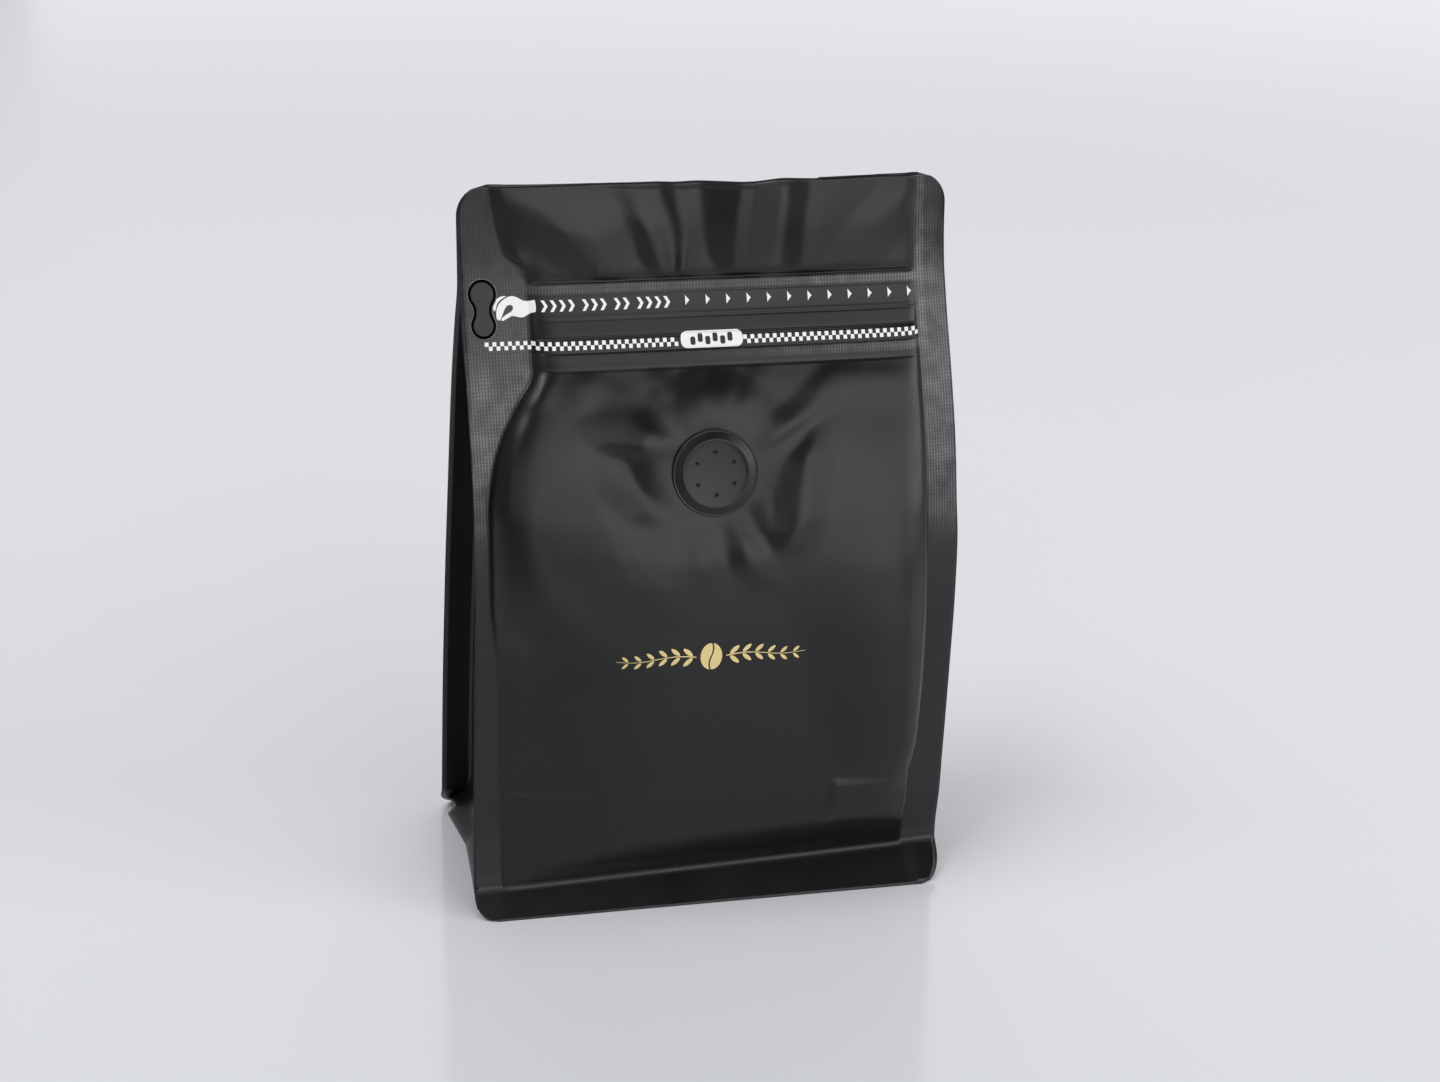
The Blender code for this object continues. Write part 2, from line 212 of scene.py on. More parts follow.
pouch = {
    "height": bagHigh.z, "halfWidth": -bagLow.x,
    "film": 0.15,                   # one laminated film
    "topCorner": 8.0, "footCorner": 6.0,
    "flange": 7.5, "flangeReach": 36.0,
    "creaseTilt": 1.3, "creaseLean": 1.7, "creaseFade": 26.0,   # the crease runs askew
    "neck": 147.0, "brow": 168.0,   # lower and upper edge of the zipper band
    "sway": 0.7,                    # how far the bag's middle leans to the right
    "backSeam": 55.0, "backDome": 3.2,
    # how square the filled part's dome and its firm shoulders are
    "leftDome": [(0, 2.8), (64, 2.8), (98, 11.0), (116, 14.0), (192.5, 14.0)],
    "rightDome": 8.0, "leftShoulder": 28.0, "rightShoulder": 60.0, "shoulderShare": 0.5,
    "lowLeftShare": 0.2, "leftFirms": (76.0, 100.0),
    # how far the fins, and the panels' bulge in front of them, reach out at each height
    "frontFin": [(7.5, 28.7), (13, 27.9), (45, 28.4), (78, 28.6), (93, 28.0), (108, 26.2),
                 (124, 22.4), (140, 16.5), (160, 8.0), (170, 4.5), (181, 2.7), (192.5, 1.5)],
    "backFin": [(7.5, 30.6), (13, 30.0), (43, 29.0), (75, 26.1), (107, 19.8), (137, 11.4),
                (156, 3.6), (168, -1.6), (180, -0.9), (192.5, 0.2)],
    "frontBulge": [(7.5, 5.6), (22, 7.4), (34, 9.0), (60, 10.0), (90, 9.5), (110, 7.8),
                   (120, 6.6), (130, 5.4), (142, 3.9), (147, 3.1), (152, 2.4), (168, 0.9),
                   (170.5, 1.4), (180, 1.3), (192.5, 0.2)],
    "backBulge": [(7.5, 4.4), (22, 6.2), (34, 8.0), (60, 10.0), (90, 11.0), (118, 8.0),
                  (140, 3.0), (150, 1.0), (168, 0.4), (180, -0.8), (192.5, -2.2)],
    "footSlope": 0.5, "footSoft": 1.1, "footStart": 0.6,   # how the panels roll out of the crease
    # how far the filled part reaches across the front, left and right, at each height
    "leftSeam": [(0, 57.0), (70, 59.2), (90, 61.4), (112, 61.4), (124, 59.6), (132, 56.6),
                 (139, 52.4), (147, 47.5), (170, 47.5), (175, 53.0), (192.5, 57.0)],
    "rightSeam": [(0, 55.0), (30, 55.0), (45, 56.0), (147, 56.0), (192.5, 56.0)],
}

frontFinCurve = curveThrough(pouch["frontFin"])
backFinCurve = curveThrough(pouch["backFin"])
frontBulgeCurve = curveThrough(pouch["frontBulge"])
backBulgeCurve = curveThrough(pouch["backBulge"])
leftSeamCurve = curveThrough(pouch["leftSeam"])
rightSeamCurve = curveThrough(pouch["rightSeam"])
leftDomeCurve = curveThrough(pouch["leftDome"])

# Creases of the film. Each is a crest through stations: height, sideways place, width of the left
# flank, width of the right flank, and rise. It starts and ends at a rise of 0.
bodyFolds = {
    "bigLeft": [(109, -10.5, 5, 5, 0), (115, -11, 7, 5, 2.0), (120, -12, 10, 5, 3.0),
                (126, -12.8, 11, 5, 3.2), (130, -16, 17, 6, 3.6), (135, -23, 14, 8, 2.8),
                (140, -26.5, 5, 8, 1.0), (147, -28.5, 3, 5, 0)],
    "aboveValve": [(128, -0.5, 6, 4, 0), (132, -1.3, 8, 4, 2.4), (135, -2.3, 8.5, 5, 2.6),
                   (140, -3.2, 7.5, 5, 1.9), (147, -3.4, 6, 5, 0.8), (153, -3.4, 5, 5, 0)],
    "topNotch": [(138, -15.5, 3, 3, 0), (142, -15.5, 3.5, 4, 0.8), (146, -15.6, 4, 4.5, 0.9),
                 (152, -15.6, 4, 4, 0)],
    "brightCrease": [(131, -2.5, 3, 3, 0), (135, -1, 3, 3, 0.5), (140, 1.6, 3.5, 3, 0.8),
                     (146, 3.3, 4, 3.5, 0.5), (150, 3.6, 4, 3.5, 0)],
    "sliver": [(132, 3.5, 3, 4, 0), (135, 4.5, 3, 4, 0.3), (140, 7.5, 3, 5, 0.9),
               (145, 9.6, 3.5, 5, 0.8), (151, 9.8, 3.5, 5, 0)],
    "rightDiagonal": [(126, 9.5, 3, 4, 0), (130, 13.5, 5, 5, 1.2), (135, 21, 8, 7, 2.2),
                      (140, 27.6, 7, 9, 2.2), (145, 30.6, 4.5, 8, 1.2), (149, 32.6, 5, 7, 0)],
    "leaf": [(99, 14.5, 5, 8, 0), (105, 17, 6, 8, 1.6), (110, 18.4, 5.5, 8, 2.3),
             (115, 19, 5.5, 8, 2.4), (120, 20.3, 5, 8, 2.3), (125, 21.8, 4.5, 7, 1.8),
             (130, 24.7, 2.5, 6, 0.8), (135, 26.5, 2.5, 5, 0)],
    "underValve": [(91, 9, 5, 6, 0), (95, 7.8, 6, 6, 0.7), (100, 5.8, 6.5, 6, 1.7),
                   (105, 3.5, 5, 5, 1.9), (109, 1.8, 4, 5, 1.5), (113, 1, 3, 4, 0)],
    "underValveRight": [(104, 11.5, 3, 5, 0), (109, 10.5, 3.5, 5, 1.0), (113, 9.5, 3.5, 5, 1.2),
                        (117, 8.5, 3, 4, 0)],
    "underValveLeft": [(90, -8.5, 6, 6, 0), (94, -8, 7, 6, 0.4), (100, -7.3, 8, 6, 1.2),
                       (107, -6.5, 8, 5.5, 1.2), (112, -6.5, 6, 5, 0)],
    "lobe": [(80, -16, 14, 12, 0), (90, -19.5, 16, 12, 0.8), (97, -23.5, 18, 12, 1.8),
             (103, -26.5, 18, 13, 2.1), (110, -28.5, 18, 13, 1.8), (118, -31, 14, 12, 0.9),
             (126, -31.5, 10, 10, 0)],
    "besideValve": [(108, -21, 8, 8, 0), (114, -22.5, 9, 9, -1.6), (120, -25, 10, 10, -2.5),
                    (126, -28, 10, 10, -1.6), (132, -31, 8, 8, 0)],
    "leftPocket": [(137, -49.5, 5, 5, 0), (141, -48, 5, 5, 1.2), (145, -46.8, 4, 5, 1.8),
                   (149, -46.4, 4, 4, 0)],
    "rightLow": [(28, 54, 14, 2, 0), (36, 54.4, 18, 2, 3.0), (46, 54.6, 24, 1.8, 6.0),
                 (62, 54.8, 28, 1.8, 7.4), (76, 54.8, 30, 2, 6.8), (90, 54.8, 36, 2, 5.0),
                 (106, 54.8, 44, 2, 2.8), (124, 54.8, 44, 2, 1.0), (138, 54.6, 40, 2, 0)],
    "cornerCrease": [(9, 56.2, 3, 1.2, 0), (12, 56, 3, 1.2, 1.2), (20, 55.2, 3, 1.2, 2.0),
                     (29, 54.6, 2.5, 1.2, 1.6), (33, 54.4, 2, 1.2, 0)],
    "leftBlotch": [(136, -36.5, 5, 6, 0), (140, -35.5, 5, 6, 0.7), (145, -34.4, 5, 5, 0.9),
                   (149, -34.4, 4, 5, 0)],
}
# The same across: sideways place, height, width below, width above, and rise
levelFolds = {
    "rightBrow": [(32, 143, 5, 4, 0), (37, 142.5, 6, 5, 1.0), (45, 142, 6, 5, 1.0),
                  (52, 141.5, 6, 5, 0.8), (57, 141, 5, 5, 0)],
}
headerFolds = {
    "leftBroad": [(166, -24.5, 6, 5, 0.5), (169, -26, 9, 6, 0.8), (175, -30, 13, 9, 1.8),
                  (180, -34.5, 15, 13, 2.3), (185, -40, 14, 18, 1.6), (192.5, -50, 14, 20, 0.5)],
    "leftStreak": [(166, -11.4, 3, 4, 0.3), (169, -12, 3.5, 4, 0.7), (175, -13.5, 5, 5.5, 1.3),
                   (180, -15.6, 5, 6, 1.4), (187, -18.5, 4.5, 7, 0.7), (192.5, -20, 4, 7, 0.2)],
    "leftFine": [(166, -6.1, 2, 3, 0.3), (169, -6.2, 2.2, 3.5, 0.6), (175, -6, 3, 4.5, 0.8),
                 (192.5, -8.5, 4, 6, 1.1)],
    "middle": [(166, 7.2, 4, 6, 0.8), (169, 7.4, 4.5, 8, 1.2), (175, 8, 7.5, 10, 2.4),
               (183, 9, 10.5, 10, 3.4), (192.5, 10.5, 12, 9, 4.0)],
    "right": [(166, 25.6, 5, 8, 0.6), (169, 26, 6, 9, 1.1), (180, 27, 7.5, 14, 2.0),
              (192.5, 28.6, 8, 16, 2.0)],
    "leftCorner": [(168, -47.3, 1, 1.2, 0), (170, -47.6, 1.2, 1.5, 0.4), (173, -48.8, 1.5, 2, 0.35),
                   (177, -51.5, 2, 3, 0)],
    "leftNick": [(168, -29.6, 1, 1.2, 0), (170, -29.4, 1.2, 1.5, 0.3), (173, -27, 1.5, 2, 0)],
    "middleNick": [(168, -7.6, 1.4, 1, 0), (170, -7.5, 1.6, 1.2, 0.6), (174, -7, 2, 1.4, 0.5),
                   (182, -7.5, 3, 3, 0)],
    "rightSoft": [(168, 36, 6, 8, 0), (172, 39, 7, 9, 0.5), (181, 46, 8, 9, 0.9),
                  (192.5, 56, 8, 8, 0.7)],
}
foldRise = 0.62    # scales every rise on the body
headerRise = 0.75  # and on the header
foldCalm = (126.0, 139.0, 0.45)    # the heights over which the body's rises shrink, and by how much
foldStop = (-3.0, 1.0)    # where the body's folds end, from the band's lower edge
headerStart = (-0.6, 1.2)    # where the header's waves start, from the band's upper edge
headerFade = (-58.0, -53.0, 52.0, 57.0)    # where they start and end across
foldHem = 0.4      # how fast the body's folds fade towards the seams
foldCrest = 0.2    # how round a crest is, as a share of its flank
foldFoot = 0.3     # how softly a flank runs out
foldEnd = 1.05     # and where, as a share of its width


def foldHeight(stations, x, z):
    heights = [station[0] for station in stations]
    crest, left, right, rise = [
        curveThrough(list(zip(heights, values)), flatEnds=True)(z)
        for values in list(zip(*stations))[1:]]
    flank = np.where(x < crest, left, right)
    away = np.sqrt(((x - crest) / flank) ** 2 + foldCrest ** 2) - foldCrest
    share = np.clip(foldEnd - away, 0.0, 1.0)
    return rise * (1.0 + foldFoot) * share ** 2 / (share + foldFoot)


def finReach(curve, z):
    crease = curve(pouch["flange"])
    flare = pouch["flangeReach"] + (crease - pouch["flangeReach"]) * z / pouch["flange"]
    return np.where(z < pouch["flange"], flare, curve(z))


def seamAt(x, z):
    # how far the front's filled part reaches on the side that x is on
    return np.where(x < 0.0, leftSeamCurve(z), rightSeamCurve(z))


def pillow(x, z):
    # a gentle dome with firmer shoulders along the seams
    share = np.clip(np.abs(x) / seamAt(x, z), 0.0, 1.0)
    low = pouch["lowLeftShare"]
    firmLeft = low + (1.0 - low) * smoothStep(*pouch["leftFirms"], z)
    firm = pouch["shoulderShare"] * np.where(x < 0.0, firmLeft, 1.0)
    shoulder = np.where(x < 0.0, pouch["leftShoulder"], pouch["rightShoulder"])
    dome = np.where(x < 0.0, leftDomeCurve(z), pouch["rightDome"])
    return np.maximum(0.0, 1.0 - (1.0 - firm) * share ** dome - firm * share ** shoulder)


def rolledOut(bulge, z):
    # the panel leaves the crease at a slope until it meets its full bulge
    climb = pouch["footSlope"] * (z - pouch["flange"] - pouch["footStart"])
    return 0.5 * (bulge + climb - np.sqrt((bulge - climb) ** 2 + pouch["footSoft"] ** 2))


def halfWidthAt(z):
    # the outline's half width, less its round corners
    half = np.full_like(z, pouch["halfWidth"])
    for radius, into in ((pouch["topCorner"], z - (pouch["height"] - pouch["topCorner"])),
                         (pouch["footCorner"], pouch["footCorner"] - z)):
        into = np.clip(into, 0.0, radius)
        half -= radius - np.sqrt(radius**2 - into**2)
    return half


# The zipper band's section: height and relief, standing on the band's own slope
zipSection = [(146.5, 0.0), (147.2, -0.12), (147.8, 0.0), (150.8, 0.1), (151.2, -0.15),
              (151.8, 0.1), (154.2, 0.1), (154.5, -0.4), (154.8, -0.4), (155.1, 0.1),
              (158.4, 0.0), (158.8, -0.12), (159.3, 0.15), (160.2, 0.05), (164.4, 0.0),
              (164.7, -0.12), (165.1, 0.1), (167.1, 0.12), (167.7, -0.45), (168.5, 0.0)]
zipReliefCurve = curveThrough(zipSection, flatEnds=True)
bandRelief = {
    "ends": (-47.0, -44.5, 54.0, 56.0),
    "left": 0.55, "crispens": (-30.0, 30.0),    # the relief is weaker on the left
}


def zipRelief(x, z):
    left = bandRelief["left"]
    strength = left + (1.0 - left) * smoothStep(*bandRelief["crispens"], x)
    return between(x, *bandRelief["ends"]) * strength * zipReliefCurve(z)


def headerWave(x, z):
    above = smoothStep(pouch["brow"] + headerStart[0], pouch["brow"] + headerStart[1], z)
    wave = sum(foldHeight(fold, x, z) for fold in headerFolds.values())
    return headerRise * between(x, *headerFade) * above * wave


sideFins = {
    # the right fin turns back towards its tip, and the upper left fin turns forwards
    "rightStart": 56.0, "rightTurn": (0.05, 0.2), "rightFirms": (98.0, 112.0),
    "rightFoot": (8.0, 20.0),
    "leftStart": 61.0, "leftTurn": 0.25, "leftRun": (98.0, 118.0, 146.0, 156.0),
}


def finTurn(x, z):
    low, high = sideFins["rightTurn"]
    right = np.clip(x - sideFins["rightStart"], 0.0, None) * (
        low + (high - low) * smoothStep(*sideFins["rightFirms"], z))
    left = np.clip(-sideFins["leftStart"] - x, 0.0, None) * sideFins["leftTurn"]
    return left * between(z, *sideFins["leftRun"]) - right * smoothStep(*sideFins["rightFoot"], z)


baseFold = {
    "height": 34.8, "fall": 0.06, "fallRun": (30.0, 60.0), "soft": 0.7,
    "right": (29.5, 32.0, 53.0, 55.0), "left": (-58.0, -54.0, -34.0, -31.5),
    "steps": {"right": 0.9, "left": -0.55, "middle": 0.12}, "foot": (12.0, 28.0),
}


def baseFoldStep(x, z):
    # the fold above the base stands out below its line on the right, and above it on the left
    right, left = between(x, *baseFold["right"]), between(x, *baseFold["left"])
    start, end = baseFold["fallRun"]
    line = baseFold["height"] - baseFold["fall"] * (np.clip(x, start, end) - start)
    below = 1.0 - smoothStep(line - baseFold["soft"], line + baseFold["soft"], z)
    steps = baseFold["steps"]
    step = (steps["right"] * right + steps["left"] * left
            + steps["middle"] * (1.0 - left) * (1.0 - right))
    return step * below * smoothStep(*baseFold["foot"], z)


valveSeat = {
    "middle": (valveLow + valveHigh) / 2.0, "tilt": 15.0, "stand": 0.9,
    "sink": 0.6, "filmTilt": 17.0,    # how the film lies under the disc
    "flat": 11.3, "blend": 15.0, "foldStart": 0.25, "foldRun": 9.0,
}


def swayAt(z):
    return pouch["sway"] * np.sin(math.pi * z / pouch["height"]) ** 2


valveX = valveSeat["middle"].x - float(swayAt(valveSeat["middle"].z))
valveZ = valveSeat["middle"].z
valveReach = -valveSeat["middle"].y - valveSeat["stand"]


def seatReach(z):
    slope = math.tan(math.radians(valveSeat["filmTilt"]))
    return valveReach - valveSeat["sink"] - slope * (z - valveZ)


def valveSeating(x, z):
    # how much the valve's seat flattens the film, and how much of the folds is left there
    flat = valveSeat["flat"]
    distance = np.hypot(x - valveX, (z - valveZ) / math.cos(math.radians(valveSeat["tilt"])))
    seat = 1.0 - smoothStep(flat, flat + valveSeat["blend"], distance)
    start = valveSeat["foldStart"]
    clear = (start * smoothStep(flat - 2.0, flat, distance)
             + (1.0 - start) * np.clip((distance - flat) / valveSeat["foldRun"], 0.0, 1.0))
    return seat, clear


def frontReach(x, z):
    flange, neck = pouch["flange"], pouch["neck"]
    cushion = pillow(x, z)
    calmStart, calmEnd, calmShare = foldCalm
    calm = 1.0 - calmShare * smoothStep(calmStart, calmEnd, z)
    below = 1.0 - smoothStep(neck + foldStop[0], neck + foldStop[1], z)
    folds = foldRise * calm * below * (
        sum(foldHeight(fold, x, z) for fold in bodyFolds.values())
        + sum(foldHeight(fold, z, x) for fold in levelFolds.values()))
    lean = pouch["creaseLean"] * x / pouch["halfWidth"] * np.clip(z / flange, 0.0, 1.0)
    lean = lean * (1.0 - smoothStep(flange, pouch["creaseFade"], z))
    above = smoothStep(flange, flange + 1.0, z)
    reach = (finReach(frontFinCurve, z) - lean + finTurn(x, z)
             + above * (rolledOut(frontBulgeCurve(z) * cushion, z) + baseFoldStep(x, z)))
    seat, clear = valveSeating(x, z)
    return (reach + seat * (seatReach(z) - reach) + clear * folds * cushion ** foldHem
            + zipRelief(x, z) + headerWave(x, z))


def backReach(x, z):
    reach = finReach(backFinCurve, z)
    above = smoothStep(pouch["flange"], pouch["flange"] + 1.0, z)
    share = np.clip(np.abs(x) / pouch["backSeam"], 0.0, 1.0)
    cushion = 1.0 - share ** pouch["backDome"]
    return (reach + above * rolledOut(backBulgeCurve(z) * cushion, z) + zipRelief(x, z)
            - headerWave(x, z))


def place(x, reach, z):
    # x, reach and height to points, with the bag's sway and the crease's tilt
    tilt = pouch["creaseTilt"] * (1.0 - smoothStep(pouch["flange"], pouch["creaseFade"], z))
    tilt = tilt * np.clip(z / pouch["flange"], 0.0, 1.0)
    return np.stack([x + swayAt(z), -reach, z + tilt * x / pouch["halfWidth"]], axis=-1)


# Materials

def weaveHeight(tree, pitch):
    # a fine pressed linen, from the film's own flat coordinates: 0 between threads, 1 on them
    flat = addNode(tree, "ShaderNodeUVMap", {"uv_map": "flat"})
    split = addNode(tree, "ShaderNodeSeparateXYZ", links={0: flat.outputs[0]})
    waves = []
    for axis, spacing, share in (("X", pitch, 0.5), ("Y", pitch * 1.1, 0.34)):
        phase = addMath(tree, "MULTIPLY", split.outputs[axis], 2000.0 * math.pi / spacing)
        waves.append(addMath(tree, "MULTIPLY_ADD", addMath(tree, "SINE", phase), share, share))
    return addMath(tree, "MAXIMUM", *waves)


def noiseIn(tree, coords, scale, detail, low, high, start, end):
    noise = addNode(tree, "ShaderNodeTexNoise", {"Scale": scale, "Detail": detail},
                    {"Vector": coords}).outputs["Fac"]
    return addNode(tree, "ShaderNodeMapRange", {
        "From Min": low, "From Max": high, "To Min": start, "To Max": end},
        {"Value": noise}).outputs[0]


def makeFilmMaterial(name, settings):
    # matt black laminate: soft to the touch, with linen pressed in where it is sealed, and a painted
    # sheen:
    # a lighter grey on the threads' crests that stands in for the light the pressed seals catch
    material = bpy.data.materials.new(name)
    material.use_nodes = True
    tree = material.node_tree
    shader = tree.nodes["Principled BSDF"]
    shader.inputs["IOR"].default_value = settings["ior"]
    sealAndSheen = addNode(tree, "ShaderNodeAttribute", {"attribute_name": "sealAndSheen"}).outputs["Fac"]
    coords = addNode(tree, "ShaderNodeTexCoord").outputs["Object"]
    rough = noiseIn(tree, coords, 60.0, 4.0, 0.3, 0.7, settings["rough"] - 0.03,
                    settings["rough"] + 0.03)
    tree.links.new(rough, shader.inputs["Roughness"])
    uneven = noiseIn(tree, coords, 240.0, 3.0, 0.35, 0.65, 0.45, 1.0)
    pressedAndSheen = addMath(tree, "MULTIPLY", weaveHeight(tree, settings["weave"]),
                      addMath(tree, "MULTIPLY", uneven, sealAndSheen))
    # painted sheen: the linen's crests are tinted lighter grey by the seal and sheen amount
    sheenTint = addNode(tree, "ShaderNodeMix", {
        "data_type": "RGBA", "A": fromHex(settings["colour"]), "B": fromHex(settings["paintedSheen"])},
        {"Factor": pressedAndSheen})
    tree.links.new(sheenTint.outputs["Result"], shader.inputs["Base Color"])
    grain = addNode(tree, "ShaderNodeTexNoise", {"Scale": 2600.0, "Detail": 2.0},
                    {"Vector": coords}).outputs["Fac"]
    fine = addNode(tree, "ShaderNodeBump", {"Strength": settings["grain"], "Distance": 0.00002},
                   {"Height": grain})
    threads = addNode(tree, "ShaderNodeBump", {
        "Strength": 1.0, "Distance": settings["linen"] * mm},
        {"Height": pressedAndSheen, "Normal": fine.outputs[0]})
    tree.links.new(threads.outputs[0], shader.inputs["Normal"])
    return material


def makePlainMaterial(name, settings):
    material = bpy.data.materials.new(name)
    material.use_nodes = True
    shader = material.node_tree.nodes["Principled BSDF"]
    for socket, value in settings.items():
        shader.inputs[socket].default_value = value
    return material


# the lighter grey on the linen's crests is a painted sheen
film = makeFilmMaterial("mattBlackFilm", {
    "colour": "#0a0a0a", "paintedSheen": "#8c8c8d", "rough": 0.3, "ior": 1.44, "grain": 0.25,
    "weave": 0.8, "linen": 0.05})
whiteInk = makePlainMaterial("whitePrint", {  # dense white ink under the matt varnish
    "Base Color": fromHex("#eeeeec"), "Roughness": 0.5})
goldFoil = makePlainMaterial("goldFoil", {  # hot stamped pale gold
    "Base Color": fromHex("#e3cd92"), "Metallic": 1.0, "Roughness": 0.24})
shadeBlack = makePlainMaterial("paintedShadeBlack", {  # a near-black sheet of painted shade: the shade in the deep cut round the tab and in the valve's pinholes, almost without light
    "Base Color": fromHex("#010101"), "Roughness": 0.8, "Specular IOR Level": 0.05})
glintRim = makePlainMaterial("dieCutRimGlint", {  # the cut laminate's bare plastic edge, coloured a lighter grey as a painted glint
    "Base Color": fromHex("#58595b"), "Roughness": 0.16, "IOR": 1.55})
print("materials ready")


# The film panels

panels = {
    "gap": 0.06,                # air between one sealed film and the next
    "tipInset": 0.3,            # how far inside the outline the filled part and the gussets stop
    # cells: start, end and spacing, by height and across; 1 across is the seam, 2 the tip
    "frontRows": [(0, 12, 0.6), (12, 146, 1.0), (146, 170, 0.22), (170, 192.5, 0.9)],
    "frontColumns": [(0, 0.92, 0.0167), (0.92, 1, 0.0057), (1, 1.25, 0.0625), (1.25, 2, 0.094)],
    "backRows": [(0, 12, 0.8), (12, 146, 1.4), (146, 170, 0.6), (170, 192.5, 1.2)],
    "gussetRows": [(0, 12, 1.0), (12, 192.5, 1.3)],
    "gussetSteps": [(0, 1, 0.14), (1, 3, 0.036), (3, 4, 0.14)],
    "gussetRoot": 56.5,         # where a gusset leaves the fins
    "seamGap": 0.8,             # how far outside the filled part its sheet lies
    "gussetBulge": [(0, 0.0), (7.5, 0.4), (30, 1.8), (60, 2.4), (90, 1.6), (112, 0.3), (125, 0.0)],
    "gussetPleat": [(88, 0.0), (100, 1.5), (112, 5.0), (126, 13.0), (140, 19.0), (158, 24.0),
                    (169, 26.0), (192.5, 27.0)],
    "swellPower": 0.8, "pleatPower": 1.1,    # how full the bulge and how sharp the pleat is
    # near the ground the side film stands inside the fins' tips, most of all at the peak's share
    "skirtTop": 12.0, "skirtInset": 0.6, "skirtKink": 3.0, "skirtPeak": 0.62, "skirtFold": 0.16,
    "baseHalf": 57.6, "baseInset": 0.5, "baseLow": 0.22, "creaseInside": 6.2, "sagWidth": 10.0,
}
linen = {
    # how much painted sheen the linen's crests get, by height, on the left and right seals
    "left": [(0, 0.02), (95, 0.03), (112, 0.4), (130, 0.62), (146, 0.55), (152, 0.3),
             (168, 0.2), (176, 0.12), (192.5, 0.06)],
    "right": [(0, 0.03), (98, 0.04), (110, 0.5), (125, 0.6), (165, 0.5), (178, 0.28),
              (192.5, 0.12)],
    # a painted sheen streak up the right seal, from the band up, and the tip beside it, where the
    # sheen is weaker
    "streak": (56.2, 57.0, 58.4, 59.2), "streakFrom": (147.0, 150.0), "streakAmount": 0.35,
    "tip": (61.0, 64.0), "tipFrom": (158.0, 172.0), "tipCalm": 0.7,
    # two lines of painted sheen along the band: where each lies, its amount, how much more to the
    # right and where
    "ridge": ((164.6, 165.2, 166.9, 167.5), 0.28, 0.3, (27.6, 28.4)),
    "step": ((148.4, 149.4, 150.6, 151.2), 0.05, 0.4, (-10.0, 50.0)),
}
gussetBulgeCurve = curveThrough(panels["gussetBulge"])
gussetPleatCurve = curveThrough(panels["gussetPleat"])
leftSheenCurve = curveThrough(linen["left"])
rightSheenCurve = curveThrough(linen["right"])


def sealAndSheenAmount(x, z):
    # how strongly the linen is pressed, and how much painted sheen its crests get: on the side
    # seals, most of all high up, on the blocks at the band's ends and on two lines along the band
    fins = smoothStep(-0.4, 0.8, np.abs(x) - seamAt(x, z))
    sheen = np.where(x < 0.0, leftSheenCurve(z), rightSheenCurve(z))
    sheen = sheen + (linen["streakAmount"] * smoothStep(*linen["streakFrom"], z)
                 * between(x, *linen["streak"]))
    tip = 1.0 - linen["tipCalm"] * smoothStep(*linen["tip"], x) * smoothStep(*linen["tipFrom"], z)
    band = sum(between(z, *run) * (amount + more * smoothStep(*rise, x))
               for run, amount, more, rise in (linen["ridge"], linen["step"]))
    return np.clip(fins * sheen * tip + (1.0 - fins) * band, 0.0, 1.0)


def addFilm(name, points, x, z, sealAndSheen):
    # a panel of one film, which keeps its flat coordinates x and z, and its seal and painted sheen
    # amount
    mesh = gridMesh(name, points)
    mesh.uv_layers.new(name="flat")
    corners = np.empty(len(mesh.loops), np.int32)
    mesh.loops.foreach_get("vertex_index", corners)
    flat = np.stack([x.ravel(), z.ravel()], axis=-1) * mm
    mesh.uv_layers["flat"].data.foreach_set("uv", flat[corners].ravel().astype(np.float32))
    mesh.attributes.new("sealAndSheen", "FLOAT", "POINT")
    mesh.attributes["sealAndSheen"].data.foreach_set("value", sealAndSheen.ravel().astype(np.float32))
    return thicken(addPiece(name, mesh, film), pouch["film"])


def makeFrontFilm():
    # columns run along the seams, close together where the filled part drops to them
    across = sharedOut(panels["frontColumns"])
    z, u = np.meshgrid(sharedOut(panels["frontRows"]),
                       np.concatenate([-across[:0:-1], across]), indexing="ij")
    seam = np.minimum(seamAt(u, z), halfWidthAt(z) - panels["tipInset"])
    share = np.abs(u)
    x = np.sign(u) * (np.minimum(share, 1.0) * seam
                      + np.clip(share - 1.0, 0.0, 1.0) * (halfWidthAt(z) - seam))
    return addFilm("front_film", place(x, frontReach(x, z), z), x, z, sealAndSheenAmount(x, z))


def makeBackFilm():
    z, u = np.meshgrid(sharedOut(panels["backRows"]), np.linspace(1.0, -1.0, 111), indexing="ij")
    x = u * halfWidthAt(z)
    return addFilm("back_film", place(x, -backReach(x, z), z), x, z, sealAndSheenAmount(x, z))


def skirtInset(z, share, swell):
    # how far the side film stands inside the fins' tips near the ground
    peak = panels["skirtPeak"]
    kink = np.minimum(share / peak, (1.0 - share) / (1.0 - peak))
    foot = panels["skirtInset"] + panels["skirtKink"] * kink
    wall = pouch["halfWidth"] - panels["gussetRoot"] - gussetBulgeCurve(z) * swell
    blend = 1.0 - smoothStep(0.0, panels["skirtTop"], z)
    return foot * blend + wall * (1.0 - blend)


